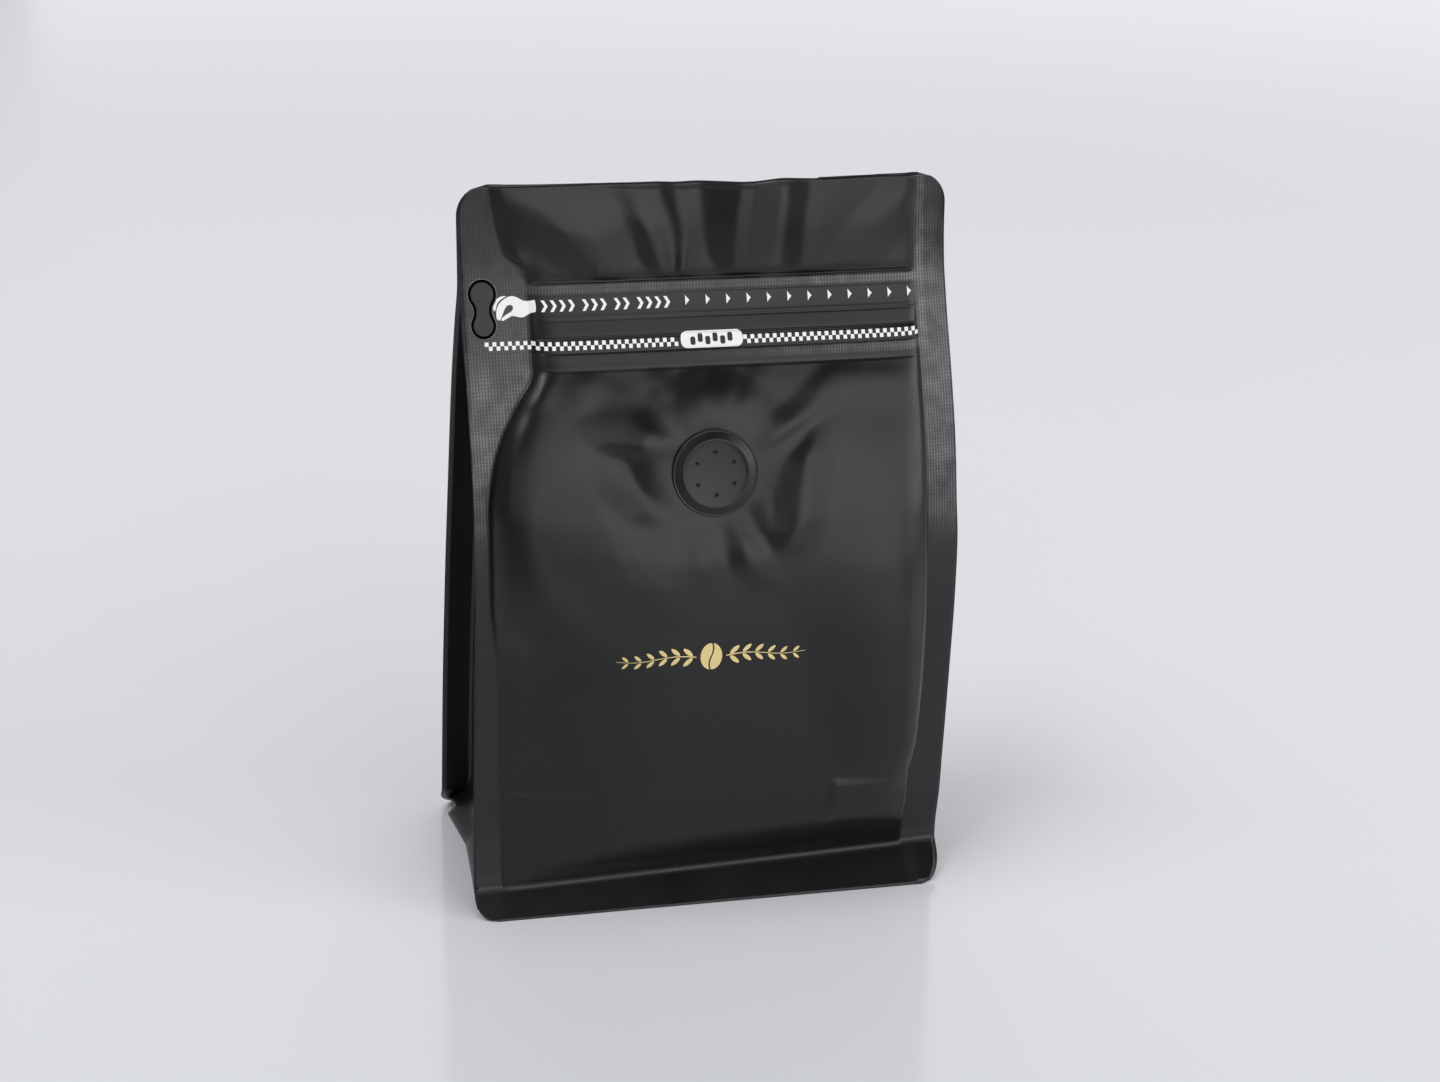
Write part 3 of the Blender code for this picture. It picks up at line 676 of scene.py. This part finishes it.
def gussetSection(z, s, side):
    # s runs 0 to 1 along the front fin, 1 to 3 across the side and 3 to 4 along the back fin
    root = panels["gussetRoot"] * np.ones_like(z)
    tip = halfWidthAt(z) - panels["tipInset"]
    across = np.clip((s - 1.0) / 2.0, 0.0, 1.0)
    fold = (1.0 - np.abs(2.0 * across - 1.0)) ** panels["pleatPower"]
    swell = np.sin(math.pi * across) ** panels["swellPower"]
    wall = root + gussetBulgeCurve(z) * swell - gussetPleatCurve(z) * fold
    nearBase = np.maximum(halfWidthAt(z), pouch["halfWidth"] * (fold > panels["skirtFold"]))
    wall = np.where(z < panels["skirtTop"], nearBase - skirtInset(z, across, swell), wall)
    x = np.where(s < 1.0, tip + (root - tip) * s,
                 np.where(s > 3.0, root + (tip - root) * (s - 3.0), wall))
    sheet = pouch["film"] + panels["gap"]
    # the side film starts in the plane of the fins, behind the filled panels' shoulders
    fin = np.maximum(np.abs(x), seamAt(side, z) + panels["seamGap"])
    front = -frontReach(side * fin, z) + sheet
    inside = np.where((s < 1.0) | (s > 3.0), x, np.minimum(np.abs(x), root))
    back = backReach(side * inside, z) - sheet
    return side * x, front + (back - front) * across


def makeGusset(name, side):
    steps = sharedOut(panels["gussetSteps"])
    if side < 0:
        steps = steps[::-1]
    z, s = np.meshgrid(sharedOut(panels["gussetRows"]), steps, indexing="ij")
    x, y = gussetSection(z, s, side)
    flatAcross = 60.0 + 30.0 * s    # about how far round the bag the film has run
    return addFilm(name, place(x, -y, z), flatAcross, z, np.zeros_like(z))


def makeBaseFilm():
    # the bottom film leaves the skirt at its crease and sags onto the ground
    half, inset, low = panels["baseHalf"], panels["baseInset"], panels["baseLow"]
    crease = panels["creaseInside"]
    x, share = np.meshgrid(np.linspace(-half, half, 117), np.linspace(0.0, 1.0, 67), indexing="ij")
    front = -frontReach(x, crease + 0.0 * x) + inset
    back = backReach(x, crease + 0.0 * x) - inset
    y = front + (back - front) * share
    edge = np.minimum(half - np.abs(x), np.minimum(y - front, back - y))
    drop = 1.0 - smoothStep(0.0, panels["sagWidth"], edge)
    return addFilm("base_film", place(x, -y, low + (crease - low) * drop), x, y, np.zeros_like(x))


frontFilm = makeFrontFilm()
backFilm = makeBackFilm()
gussetLeft = makeGusset("gusset_left", -1.0)
gussetRight = makeGusset("gusset_right", 1.0)
baseFilm = makeBaseFilm()
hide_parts("pouch")
for piece in (frontFilm, backFilm, gussetLeft, gussetRight, baseFilm):
    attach(piece, "root")
print("film panels made")


# Print and small pieces that follow the front film

def onFront(x, z, lift):
    # a point that stands a lift in front of the film, square to its slope
    step = 0.05
    slopeX = (frontReach(x + step, z) - frontReach(x - step, z)) / (2.0 * step)
    slopeZ = (frontReach(x, z + step) - frontReach(x, z - step)) / (2.0 * step)
    length = np.sqrt(1.0 + slopeX**2 + slopeZ**2)
    return place(x - lift * slopeX / length, frontReach(x, z) + lift / length,
                 z - lift * slopeZ / length)


def drapeOnFront(mesh, lift):
    # the mesh holds x and z in millimetres and its lift as -y
    moveVertices(mesh, lambda x, y, z: onFront(x - swayAt(z), z, lift - y))


def smoothOutline(points, steps=8):
    # a closed curve through given points
    points = np.array(points, float)
    before, after, far = (np.roll(points, shift, axis=0) for shift in (1, -1, -2))
    t = np.linspace(0.0, 1.0, steps, endpoint=False)[:, None]
    pieces = [0.5 * (2.0 * p + (c - a) * t + (2.0 * a - 5.0 * p + 4.0 * c - d) * t**2
                     + (3.0 * p - a - 3.0 * c + d) * t**3)
              for a, p, c, d in zip(before, points, after, far)]
    return np.concatenate(pieces)


def flatPrint(name, outlines, cut):
    # fills flat outlines and cuts them into small cells, so that they can follow the film
    work = bmesh.new()
    for outline in outlines:
        corners = [work.verts.new((x, 0.0, z)) for x, z in outline]
        face = work.faces.new(corners)
        face.normal_update()
        if face.normal.y > 0.0:
            face.normal_flip()
    bmesh.ops.triangulate(work, faces=work.faces[:], ngon_method="EAR_CLIP")
    for axis in (0, 2):
        places = [vertex.co[axis] for vertex in work.verts]
        step = cut[0] if axis == 0 else cut[1]
        count = int((max(places) - min(places)) / step)
        for i in range(1, count + 1):
            level, across = [0.0, 0.0, 0.0], [0.0, 0.0, 0.0]
            level[axis], across[axis] = min(places) + i * step, 1.0
            bmesh.ops.bisect_plane(work, geom=work.verts[:] + work.edges[:] + work.faces[:],
                                   plane_co=level, plane_no=across, dist=0.001)
    mesh = bpy.data.meshes.new(name)
    work.to_mesh(mesh)
    work.free()
    return mesh


def bothFaces(mesh, thickness):
    # a printed film as a thin closed plate, before it is draped
    work = bmesh.new()
    work.from_mesh(mesh)
    bmesh.ops.remove_doubles(work, verts=work.verts[:], dist=0.0005)
    bmesh.ops.solidify(work, geom=work.verts[:] + work.edges[:] + work.faces[:],
                       thickness=thickness)
    bmesh.ops.recalc_face_normals(work, faces=work.faces[:])
    work.to_mesh(mesh)
    work.free()


def addPrint(name, mesh, material, lift=0.03, thickness=0.05):
    bothFaces(mesh, thickness)
    drapeOnFront(mesh, lift)
    mesh.shade_flat()
    return addPiece(name, mesh, material)


# Copies in a row or round a circle, made by geometry nodes

def makeCopyTree(name, sizes, layPoints):
    tree = bpy.data.node_groups.new(name, "GeometryNodeTree")
    for socket, kind in {"Shape": "Geometry", **sizes, "Finish": "Material"}.items():
        tree.interface.new_socket(socket, in_out="INPUT", socket_type="NodeSocket" + kind)
    tree.interface.new_socket("Copies", in_out="OUTPUT", socket_type="NodeSocketGeometry")
    given = addNode(tree, "NodeGroupInput").outputs
    copies = addNode(tree, "GeometryNodeInstanceOnPoints", {}, {
        "Points": layPoints(tree, given), "Instance": given["Shape"]})
    solid = addNode(tree, "GeometryNodeRealizeInstances", {}, {0: copies.outputs[0]})
    painted = addNode(tree, "GeometryNodeSetMaterial", {}, {
        "Geometry": solid.outputs[0], "Material": given["Finish"]})
    addNode(tree, "NodeGroupOutput", {}, {0: painted.outputs[0]})
    return tree


def layRow(tree, given):
    return addNode(tree, "GeometryNodeMeshLine", {}, {
        "Count": given["Count"], "Start Location": given["Start"],
        "Offset": given["Step"]}).outputs[0]


def layCircle(tree, given):
    circle = addNode(tree, "GeometryNodeMeshCircle", {}, {
        "Vertices": given["Count"], "Radius": given["Radius"]})
    return addNode(tree, "GeometryNodeTransform", {}, {
        "Geometry": circle.outputs[0], "Rotation": given["Turn"]}).outputs[0]


rowTree = makeCopyTree("rowOfCopies", {
    "Count": "Int", "Start": "Vector", "Step": "Vector"}, layRow)
circleTree = makeCopyTree("circleOfCopies", {
    "Count": "Int", "Radius": "Float", "Turn": "Vector"}, layCircle)


def makeCopies(name, unit, tree, sizes, material):
    # uses the unit up and gives its copies as one plain piece
    piece = addPiece(name, unit, material)
    maker = piece.modifiers.new("Copies", "NODES")
    maker.node_group = tree
    values = {**sizes, "Finish": material}
    for item in tree.interface.items_tree:
        if item.in_out == "INPUT" and item.name in values:
            maker[item.identifier] = values[item.name]
    return finishMesh(piece)


def rowMesh(name, unit, count, start, step, material):
    # a row of copies as a flat mesh, before it is draped
    piece = makeCopies(name, unit, rowTree, {"Count": count, "Start": start, "Step": step},
                       material)
    mesh = piece.data
    bpy.data.objects.remove(piece)
    return mesh


# White print on the zipper band

bandPrint = {
    "checkRuns": ((-59.2, -8.7), (8.1, 55.9)), "checkHeight": 151.95, "square": 1.0,
    "arrowStart": -5.9, "arrowHeight": 162.5, "arrowPitch": 5.47, "arrowCount": 12,
    "arrowSize": (1.1, 2.4),
    "pill": (-8.5, 8.0, 151.3, 155.3), "pillRadius": 1.7,
    "teeth": 6, "toothSize": (1.3, 1.9), "toothPitch": 1.98, "toothStart": 2.55,
    "toothShift": 0.3, "toothRadius": 0.45,
    # the blank chevrons' groups, the height that they fill and their stroke, point and pitch
    "signGroups": (4, 3, 2, 4), "signLeft": -44.3, "signHeight": (160.9, 163.6),
    "signStroke": (0.85, 0.9), "signPitch": 2.35, "signGap": 1.3,
    "lift": 0.05, "pillLift": 0.06, "toothLift": 0.12,    # in front of the film
}


def makeChecker():
    side, slit = bandPrint["square"], 0.02
    squares = [[(0, side), (side, side), (side, 2 * side), (0, 2 * side)],
               [(side + slit, 0), (2 * side - slit, 0), (2 * side - slit, side - slit),
                (side + slit, side - slit)]]
    rows = []
    for start, end in bandPrint["checkRuns"]:
        count = int((end - start) / (2.0 * side) + 0.3)
        unit = flatPrint("check", squares, (0.5, 0.26))
        rows.append(rowMesh("check", unit, count, (start, 0.0, bandPrint["checkHeight"]),
                            (2.0 * side, 0.0, 0.0), whiteInk))
    return rows


def joinMeshes(name, meshes):
    work = bmesh.new()
    for mesh in meshes:
        work.from_mesh(mesh)
        bpy.data.meshes.remove(mesh)
    joined = bpy.data.meshes.new(name)
    work.to_mesh(joined)
    work.free()
    return joined


def roundedBar(x0, x1, z0, z1, radius, steps=8):
    corners = [(x1 - radius, z1 - radius, 0), (x0 + radius, z1 - radius, 90),
               (x0 + radius, z0 + radius, 180), (x1 - radius, z0 + radius, 270)]
    outline = []
    for x, z, start in corners:
        for turn in np.linspace(start, start + 90, steps):
            outline.append((x + radius * math.cos(math.radians(turn)),
                            z + radius * math.sin(math.radians(turn))))
    return outline


def makeArrows():
    width, height = bandPrint["arrowSize"]
    arrow = [(0, -height / 2), (width * 0.55, -height * 0.2), (width, 0),
             (width * 0.55, height * 0.2), (0, height / 2)]
    return rowMesh("tear_arrows", flatPrint("arrow", [arrow], (0.5, 0.4)),
                   bandPrint["arrowCount"],
                   (bandPrint["arrowStart"] - width / 2, 0.0, bandPrint["arrowHeight"]),
                   (bandPrint["arrowPitch"], 0.0, 0.0), whiteInk)


def makeTeeth():
    # short upright teeth in the pill, up and down in turn
    low, _, bottom, top = bandPrint["pill"]
    width, height = bandPrint["toothSize"]
    teeth = []
    for i in range(bandPrint["teeth"]):
        left = low + bandPrint["toothStart"] + i * bandPrint["toothPitch"]
        middle = (bottom + top) / 2 + bandPrint["toothShift"] * (1 if i % 2 else -1)
        teeth.append(roundedBar(left, left + width, middle - height / 2, middle + height / 2,
                                bandPrint["toothRadius"], 5))
    return flatPrint("teeth", teeth, (0.7, 0.3))


def makeSigns():
    # blank bold chevrons, grouped, where the opening words would stand
    low, high = bandPrint["signHeight"]
    stroke, point = bandPrint["signStroke"]
    middle = (low + high) / 2
    signs = []
    left = bandPrint["signLeft"]
    for group in bandPrint["signGroups"]:
        for _ in range(group):
            signs.append([(left, low), (left + stroke, low), (left + stroke + point, middle),
                          (left + stroke, high), (left, high), (left + point, middle)])
            left += bandPrint["signPitch"]
        left += bandPrint["signGap"]
    return flatPrint("signs", signs, (0.7, 0.3))


def makeHand():
    hand = smoothOutline([
        (-45.75, 163.65), (-45.55, 162.3), (-45.7, 160.95), (-46.6, 160.7), (-48.0, 159.95),
        (-49.2, 159.55), (-50.6, 159.8), (-51.8, 159.95), (-53.0, 159.4), (-54.15, 158.9),
        (-54.5, 159.1), (-54.2, 159.65), (-53.1, 160.4), (-51.85, 161.05), (-51.35, 161.85),
        (-51.75, 162.55), (-52.75, 162.5), (-53.55, 161.6), (-54.2, 160.3), (-54.62, 159.4),
        (-54.95, 159.05), (-55.5, 159.25), (-55.75, 159.9), (-55.7, 161.2), (-55.15, 162.6),
        (-54.0, 163.75), (-52.6, 164.5), (-51.3, 164.7), (-50.0, 164.25), (-48.8, 163.6),
        (-47.5, 163.4), (-46.4, 163.6)], 5)
    finger = smoothOutline([
        (-56.15, 161.3), (-56.45, 161.7), (-56.45, 162.6), (-56.0, 163.5), (-55.1, 164.35),
        (-53.9, 164.75), (-53.05, 164.65), (-54.1, 164.15), (-55.05, 163.4), (-55.6, 162.5),
        (-55.9, 161.5)], 5)
    return flatPrint("hand", [hand, finger], (0.6, 0.4))


def makeBandPrint():
    pill = roundedBar(*bandPrint["pill"], bandPrint["pillRadius"])
    return [
        addPrint("zip_checker", joinMeshes("zip_checker", makeChecker()), whiteInk,
                 bandPrint["lift"]),
        addPrint("tear_arrows", makeArrows(), whiteInk),
        addPrint("zip_pill", flatPrint("zip_pill", [pill], (0.8, 0.25)), whiteInk,
                 bandPrint["pillLift"]),
        addPrint("zip_pill_teeth", makeTeeth(), film, bandPrint["toothLift"]),
        addPrint("opening_signs", makeSigns(), whiteInk),
        addPrint("pinching_hand", makeHand(), whiteInk, bandPrint["lift"]),
    ]


# The gold ornament: a coffee bean between two leafed sprigs

ornament = {
    "middle": (-3.9, 74.75), "halfLength": 25.3, "beanSize": (2.9, 3.75),
    "slit": 0.2, "slitSway": 0.55,    # half the bean's slit, and how far it curves
    "leafPairs": 6, "leafLength": 3.3, "leafWidth": 0.62, "leafTilt": 0.72, "leafRoot": 0.28,
    "leafStart": 1.0, "leafEnd": 3.2, "leafShrink": 0.35,
    "stem": 0.16, "stemGap": 1.1, "stemWave": 0.5, "stemShrink": 0.6,
}


def leafOutline(root, angle, length, width):
    turn = np.linspace(0.0, math.pi, 9)
    upper = [(length * (1 - math.cos(t)) / 2, width * math.sin(t) ** 1.3) for t in turn]
    lower = [(x, -w) for x, w in upper[1:-1]][::-1]
    cosine, sine = math.cos(angle), math.sin(angle)
    return [(root[0] + x * cosine - w * sine, root[1] + x * sine + w * cosine)
            for x, w in upper + lower]


def makeOrnament():
    middleX, middleZ = ornament["middle"]
    wide, tall = ornament["beanSize"]
    outlines = []
    # the bean is two halves with a curved slit between them
    for half in (-1.0, 1.0):
        rim = [(half * wide * math.cos(t), tall * math.sin(t))
               for t in np.linspace(-math.pi / 2 + 0.1, math.pi / 2 - 0.1, 21)]
        slit = [(ornament["slitSway"] * math.sin(z / tall * 2.6) + half * ornament["slit"], z)
                for z in np.linspace(tall * 0.97, -tall * 0.97, 17)]
        outlines.append([(middleX + x, middleZ + z) for x, z in rim + slit])
    start, end = wide + ornament["stemGap"], ornament["halfLength"]
    run = end - start

    def waveAt(reach):
        return ornament["stemWave"] * math.sin((reach - start) / run * math.pi * 2.0)

    def thickAt(reach):
        return ornament["stem"] * (1.0 - ornament["stemShrink"] * (reach - start) / run)

    for side in (-1.0, 1.0):
        reaches = np.linspace(start, end, 30)
        upper, lower = [[(middleX + side * reach, middleZ + waveAt(reach) + edge * thickAt(reach))
                         for reach in reaches] for edge in (1.0, -1.0)]
        outlines.append(upper + lower[::-1])
        for i in range(ornament["leafPairs"]):
            share = i / (ornament["leafPairs"] - 1)
            at = (start + ornament["leafStart"]
                  + share * (run - ornament["leafStart"] - ornament["leafEnd"]))
            size = 1.0 - ornament["leafShrink"] * share
            for tilt in (ornament["leafTilt"], -ornament["leafTilt"]):
                angle = tilt if side > 0 else math.pi - tilt
                root = (middleX + side * at,
                        middleZ + waveAt(at) + math.copysign(ornament["leafRoot"], tilt))
                outlines.append(leafOutline(root, angle, ornament["leafLength"] * size,
                                            ornament["leafWidth"] * size))
    mesh = flatPrint("ornament", outlines, (1.2, 1.2))
    return addPrint("gold_ornament", mesh, goldFoil, lift=0.05)


printPieces = makeBandPrint()
for piece in printPieces:
    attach(piece, "root")
goldOrnament = makeOrnament()
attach(goldOrnament, "root")
print("print laid on")


# The valve: a dished disc inside a coned, ribbed ring

valve = {
    "section": [(0.0, 0.72), (3.0, 0.76), (5.0, 0.84), (7.0, 0.95), (8.2, 1.06), (8.6, 1.18),
                (8.85, 1.2), (9.05, 1.1), (9.7, 0.84), (10.3, 0.58), (10.7, 0.34), (10.85, 0.3),
                (11.05, 0.44), (11.2, 0.46), (11.3, 0.34), (11.35, 0.0), (11.35, -1.3), (0.0, -1.3)],
    "ribs": 120, "ribDepth": 0.035, "segments": 480,
    "cone": (9.0, 9.3, 10.5, 10.8), "coneLow": 0.2,    # the ribs' radii and lowest height
    "holeCircle": 5.6, "holes": 6, "holeHeight": 0.86,
    "burr": [(0.0, 0.0), (0.2, 0.02), (0.34, 0.16), (0.46, 0.2), (0.6, 0.08), (0.72, -0.05),
             (0.0, -0.2)],
    # the pit is a near-black disc of painted shade standing in each pinhole
    "pitShade": [(0.0, 0.12), (0.24, 0.12), (0.26, 0.0), (0.0, -0.1)],
}


def ontoValve(across, up, height):
    # from the valve's own plane to the bag
    tilt = math.radians(valveSeat["tilt"])
    return np.stack([valveSeat["middle"].x + across,
                     -valveReach - height * math.cos(tilt) + up * math.sin(tilt),
                     valveZ + height * math.sin(tilt) + up * math.cos(tilt)], axis=-1)


def fineSection(section, spacing):
    fine = []
    for (r0, h0), (r1, h1) in zip(section[:-1], section[1:]):
        steps = max(1, int(math.hypot(r1 - r0, h1 - h0) / spacing))
        fine += [(r0 + (r1 - r0) * t, h0 + (h1 - h0) * t)
                 for t in np.linspace(0.0, 1.0, steps, endpoint=False)]
    return fine + [section[-1]]


def turnedMesh(name, section, steps, ribDepth=0.0):
    # a closed turned shape: section is radius and height from the top's middle to the bottom's
    radii, heights = np.array(section[1:-1]).T
    r, a = np.meshgrid(radii, np.linspace(0.0, 2.0 * math.pi, steps, endpoint=False),
                       indexing="ij")
    h = heights[:, None] + 0.0 * a
    onCone = between(r, *valve["cone"]) * (h > valve["coneLow"])
    h = h + ribDepth * onCone * np.cos(valve["ribs"] * a)
    points = np.stack([r * np.cos(a), r * np.sin(a), h], axis=-1).reshape(-1, 3).tolist()
    points += [(0.0, 0.0, section[0][1]), (0.0, 0.0, section[-1][1])]
    index = np.arange(r.size).reshape(r.shape)
    following = np.roll(index, -1, axis=1)
    faces = np.stack([index[:-1], index[1:], following[1:], following[:-1]], axis=-1)
    faces = faces.reshape(-1, 4).tolist()
    faces += [(r.size, int(a), int(b)) for a, b in zip(index[0], following[0])]
    faces += [(r.size + 1, int(b), int(a)) for a, b in zip(index[-1], following[-1])]
    mesh = bpy.data.meshes.new(name)
    mesh.from_pydata(points, [], faces)
    mesh.shade_smooth()
    return mesh


def makeValve():
    disc = turnedMesh("valve_disc", fineSection(valve["section"], 0.5), valve["segments"],
                      valve["ribDepth"])
    moveVertices(disc, ontoValve)
    return addPiece("valve_disc", disc, film)


def makeHoleMarks(name, section, material):
    # copies round the disc, in the valve's own plane and then moved onto it
    unit = turnedMesh(name, [(r, h + valve["holeHeight"]) for r, h in section], 20)
    piece = makeCopies(name, unit, circleTree, {
        "Count": valve["holes"], "Radius": valve["holeCircle"],
        "Turn": (0.0, 0.0, math.pi / 2.0)}, material)
    moveVertices(piece.data, ontoValve)
    return piece


valveDisc = makeValve()
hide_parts("valve")
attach(valveDisc, "root")
burrs = makeHoleMarks("valve_burrs", valve["burr"], film)
# a disc of painted shade in each pinhole
pitShades = makeHoleMarks("valve_pit_shades", valve["pitShade"], shadeBlack)
for piece in (burrs, pitShades):
    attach(piece, "root")
print("valve made")


# The pull tab: a figure-of-eight plate inside its die cut, whose shade is painted as a near-black
# sheet

tab = {
    "middle": (tabLow.x + tabHigh.x) / 2, "lowZ": 157.9, "highZ": 165.35,
    "lowRadius": 2.35, "highRadius": 2.75, "waistFillet": 4.2,
    "slot": 1.0, "shrink": 0.15,    # how far the cut's painted shade runs outside the plate's outline, and how far the plate stops inside it; the bead's radius
    "rim": 0.15,                    # how far the plate stops inside it; the bead's radius
    "cutLift": 0.05, "plateLift": 0.3, "plateThickness": 0.25,
}


def eightOutline(grow, steps=26):
    # two discs joined by a waist with round fillets
    lowR, highR = tab["lowRadius"] + grow, tab["highRadius"] + grow
    fillet = tab["waistFillet"] - grow
    span = tab["highZ"] - tab["lowZ"]
    toLow, toHigh = lowR + fillet, highR + fillet
    up = (toLow**2 - toHigh**2 + span**2) / (2.0 * span)
    out = math.sqrt(toLow**2 - up**2)
    low = math.atan2(up, out)
    high = math.atan2(up - span, out)
    points = [(lowR * math.cos(t), lowR * math.sin(t))
              for t in np.linspace(-math.pi - low, low, steps * 2)]
    points += [(out - fillet * math.cos(t), up - fillet * math.sin(t))
               for t in np.linspace(low, high, steps // 2)[1:-1]]
    points += [(highR * math.cos(t), span + highR * math.sin(t))
               for t in np.linspace(high, math.pi - high, steps * 2)]
    points += [(-out + fillet * math.cos(t), up - fillet * math.sin(t))
               for t in np.linspace(high, low, steps // 2)[1:-1]]
    return [(tab["middle"] + x, tab["lowZ"] + z) for x, z in points]


def outlineTube(name, outline, radius, lift, material):
    # a thin round bead that runs along an outline on the film
    outline = np.array(outline)
    ahead = np.roll(outline, -1, axis=0) - np.roll(outline, 1, axis=0)
    ahead /= np.linalg.norm(ahead, axis=1, keepdims=True)
    side = np.stack([ahead[:, 1], -ahead[:, 0]], axis=-1)
    rings = []
    for t in np.linspace(0.0, 2.0 * math.pi, 8, endpoint=False):
        x, z = (outline + side * radius * math.cos(t)).T
        rings.append(onFront(x - swayAt(z), z, lift + radius * math.sin(t)))
    points = np.stack(rings)
    index = np.arange(points.size // 3).reshape(points.shape[:2])
    right, above = np.roll(index, -1, axis=1), np.roll(index, -1, axis=0)
    faces = np.stack([index, above, np.roll(above, -1, axis=1), right], axis=-1).reshape(-1, 4)
    mesh = bpy.data.meshes.new(name)
    mesh.from_pydata((points.reshape(-1, 3) * mm).tolist(), [], faces.tolist())
    mesh.shade_smooth()
    return addPiece(name, mesh, material)


def makeTab():
    # the cut is a near-black sheet of painted shade round the plate; the rim bead's lighter grey is
    # a painted glint
    cut, plate = eightOutline(tab["slot"]), eightOutline(tab["shrink"])
    return (addPrint("tab_cut_shade", flatPrint("tab_cut_shade", [cut], (0.8, 0.6)), shadeBlack,
                     tab["cutLift"]),
            addPrint("tab_plate", flatPrint("tab_plate", [plate], (0.8, 0.6)), film,
                     tab["plateLift"], tab["plateThickness"]),
            outlineTube("tab_cut_rim", cut, tab["rim"], tab["cutLift"], glintRim))


tabCutShade, tabPlate, tabRim = makeTab()
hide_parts("pull_tab")
for piece in (tabCutShade, tabPlate, tabRim):
    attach(piece, "root")
print("pull tab made")


# Studio

studio = {
    "floorHalf": 8.0, "floorColour": "#e3e4e8", "lightColour": (0.97, 0.98, 1.0, 1.0),
    # patches of light round the bag: azimuth from and to, elevation from and to, softness, power
    "lights": [
        (1, 18, 2, 46, 8, 2.0),
        (18, 34, 2, 43, 8, 2.1),
        (-40, 1, 18, 32, 8, 0.8),
        (40, 80, 6, 36, 10, 3.0),
        (80, 140, 0, 45, 40, 0.3),
        (140, 200, 3, 11, 6, 0.8),
        (140, 200, 13, 60, 20, 0.65),
        (-200, -160, 13, 60, 20, 0.65),
        (-104, -68, 48, 68, 10, 3.8),
        (-68, -38, 48, 68, 10, 7.0),
        (-200, 200, 0, 36, 16, 0.3),
        (-200, 200, 74, 100, 8, 3.0),
    ],
}


def makeFloor():
    floor = bpy.data.meshes.new("floor")
    half = studio["floorHalf"]
    floor.from_pydata([(-half, -half, 0), (half, -half, 0), (half, half, 0), (-half, half, 0)],
                      [], [(0, 1, 2, 3)])
    board = makePlainMaterial("paleBoard", {  # smooth pale board, a little shiny
        "Base Color": fromHex(studio["floorColour"]), "Roughness": 0.12, "IOR": 1.55})
    piece = addPiece("floor", floor, board)


def makeLight():
    world = bpy.data.worlds.new("studioWorld")
    bpy.context.scene.world = world
    world.use_nodes = True
    tree = world.node_tree
    tree.nodes.clear()
    coord = addNode(tree, "ShaderNodeTexCoord")
    x, y, z = addNode(tree, "ShaderNodeSeparateXYZ", links={0: coord.outputs["Generated"]}).outputs
    lift = addMath(tree, "ARCSINE", z)
    turn = addMath(tree, "ARCTAN2", x, addMath(tree, "MULTIPLY", y, -1.0))

    def band(source, start, end, rise):
        # 1 between two angles, with a soft start and end
        sides = [addNode(tree, "ShaderNodeMapRange", {
            "interpolation_type": "SMOOTHSTEP", "From Min": math.radians(angle - rise / 2),
            "From Max": math.radians(angle + rise / 2), "To Min": low, "To Max": 1.0 - low},
            {"Value": source}).outputs[0] for angle, low in ((start, 0.0), (end, 1.0))]
        return addMath(tree, "MULTIPLY", *sides)

    total = None
    for az0, az1, el0, el1, soft, power in studio["lights"]:
        patch = addMath(tree, "MULTIPLY", band(turn, az0, az1, soft), band(lift, el0, el1, soft))
        scaled = addMath(tree, "MULTIPLY", patch, power)
        total = scaled if total is None else addMath(tree, "ADD", total, scaled)
    background = addNode(tree, "ShaderNodeBackground", {"Color": studio["lightColour"]},
                         {"Strength": total})
    addNode(tree, "ShaderNodeOutputWorld", links={0: background.outputs[0]})


makeFloor()
makeLight()
bpy.context.scene.view_settings.view_transform = "Standard"
print("studio lit")
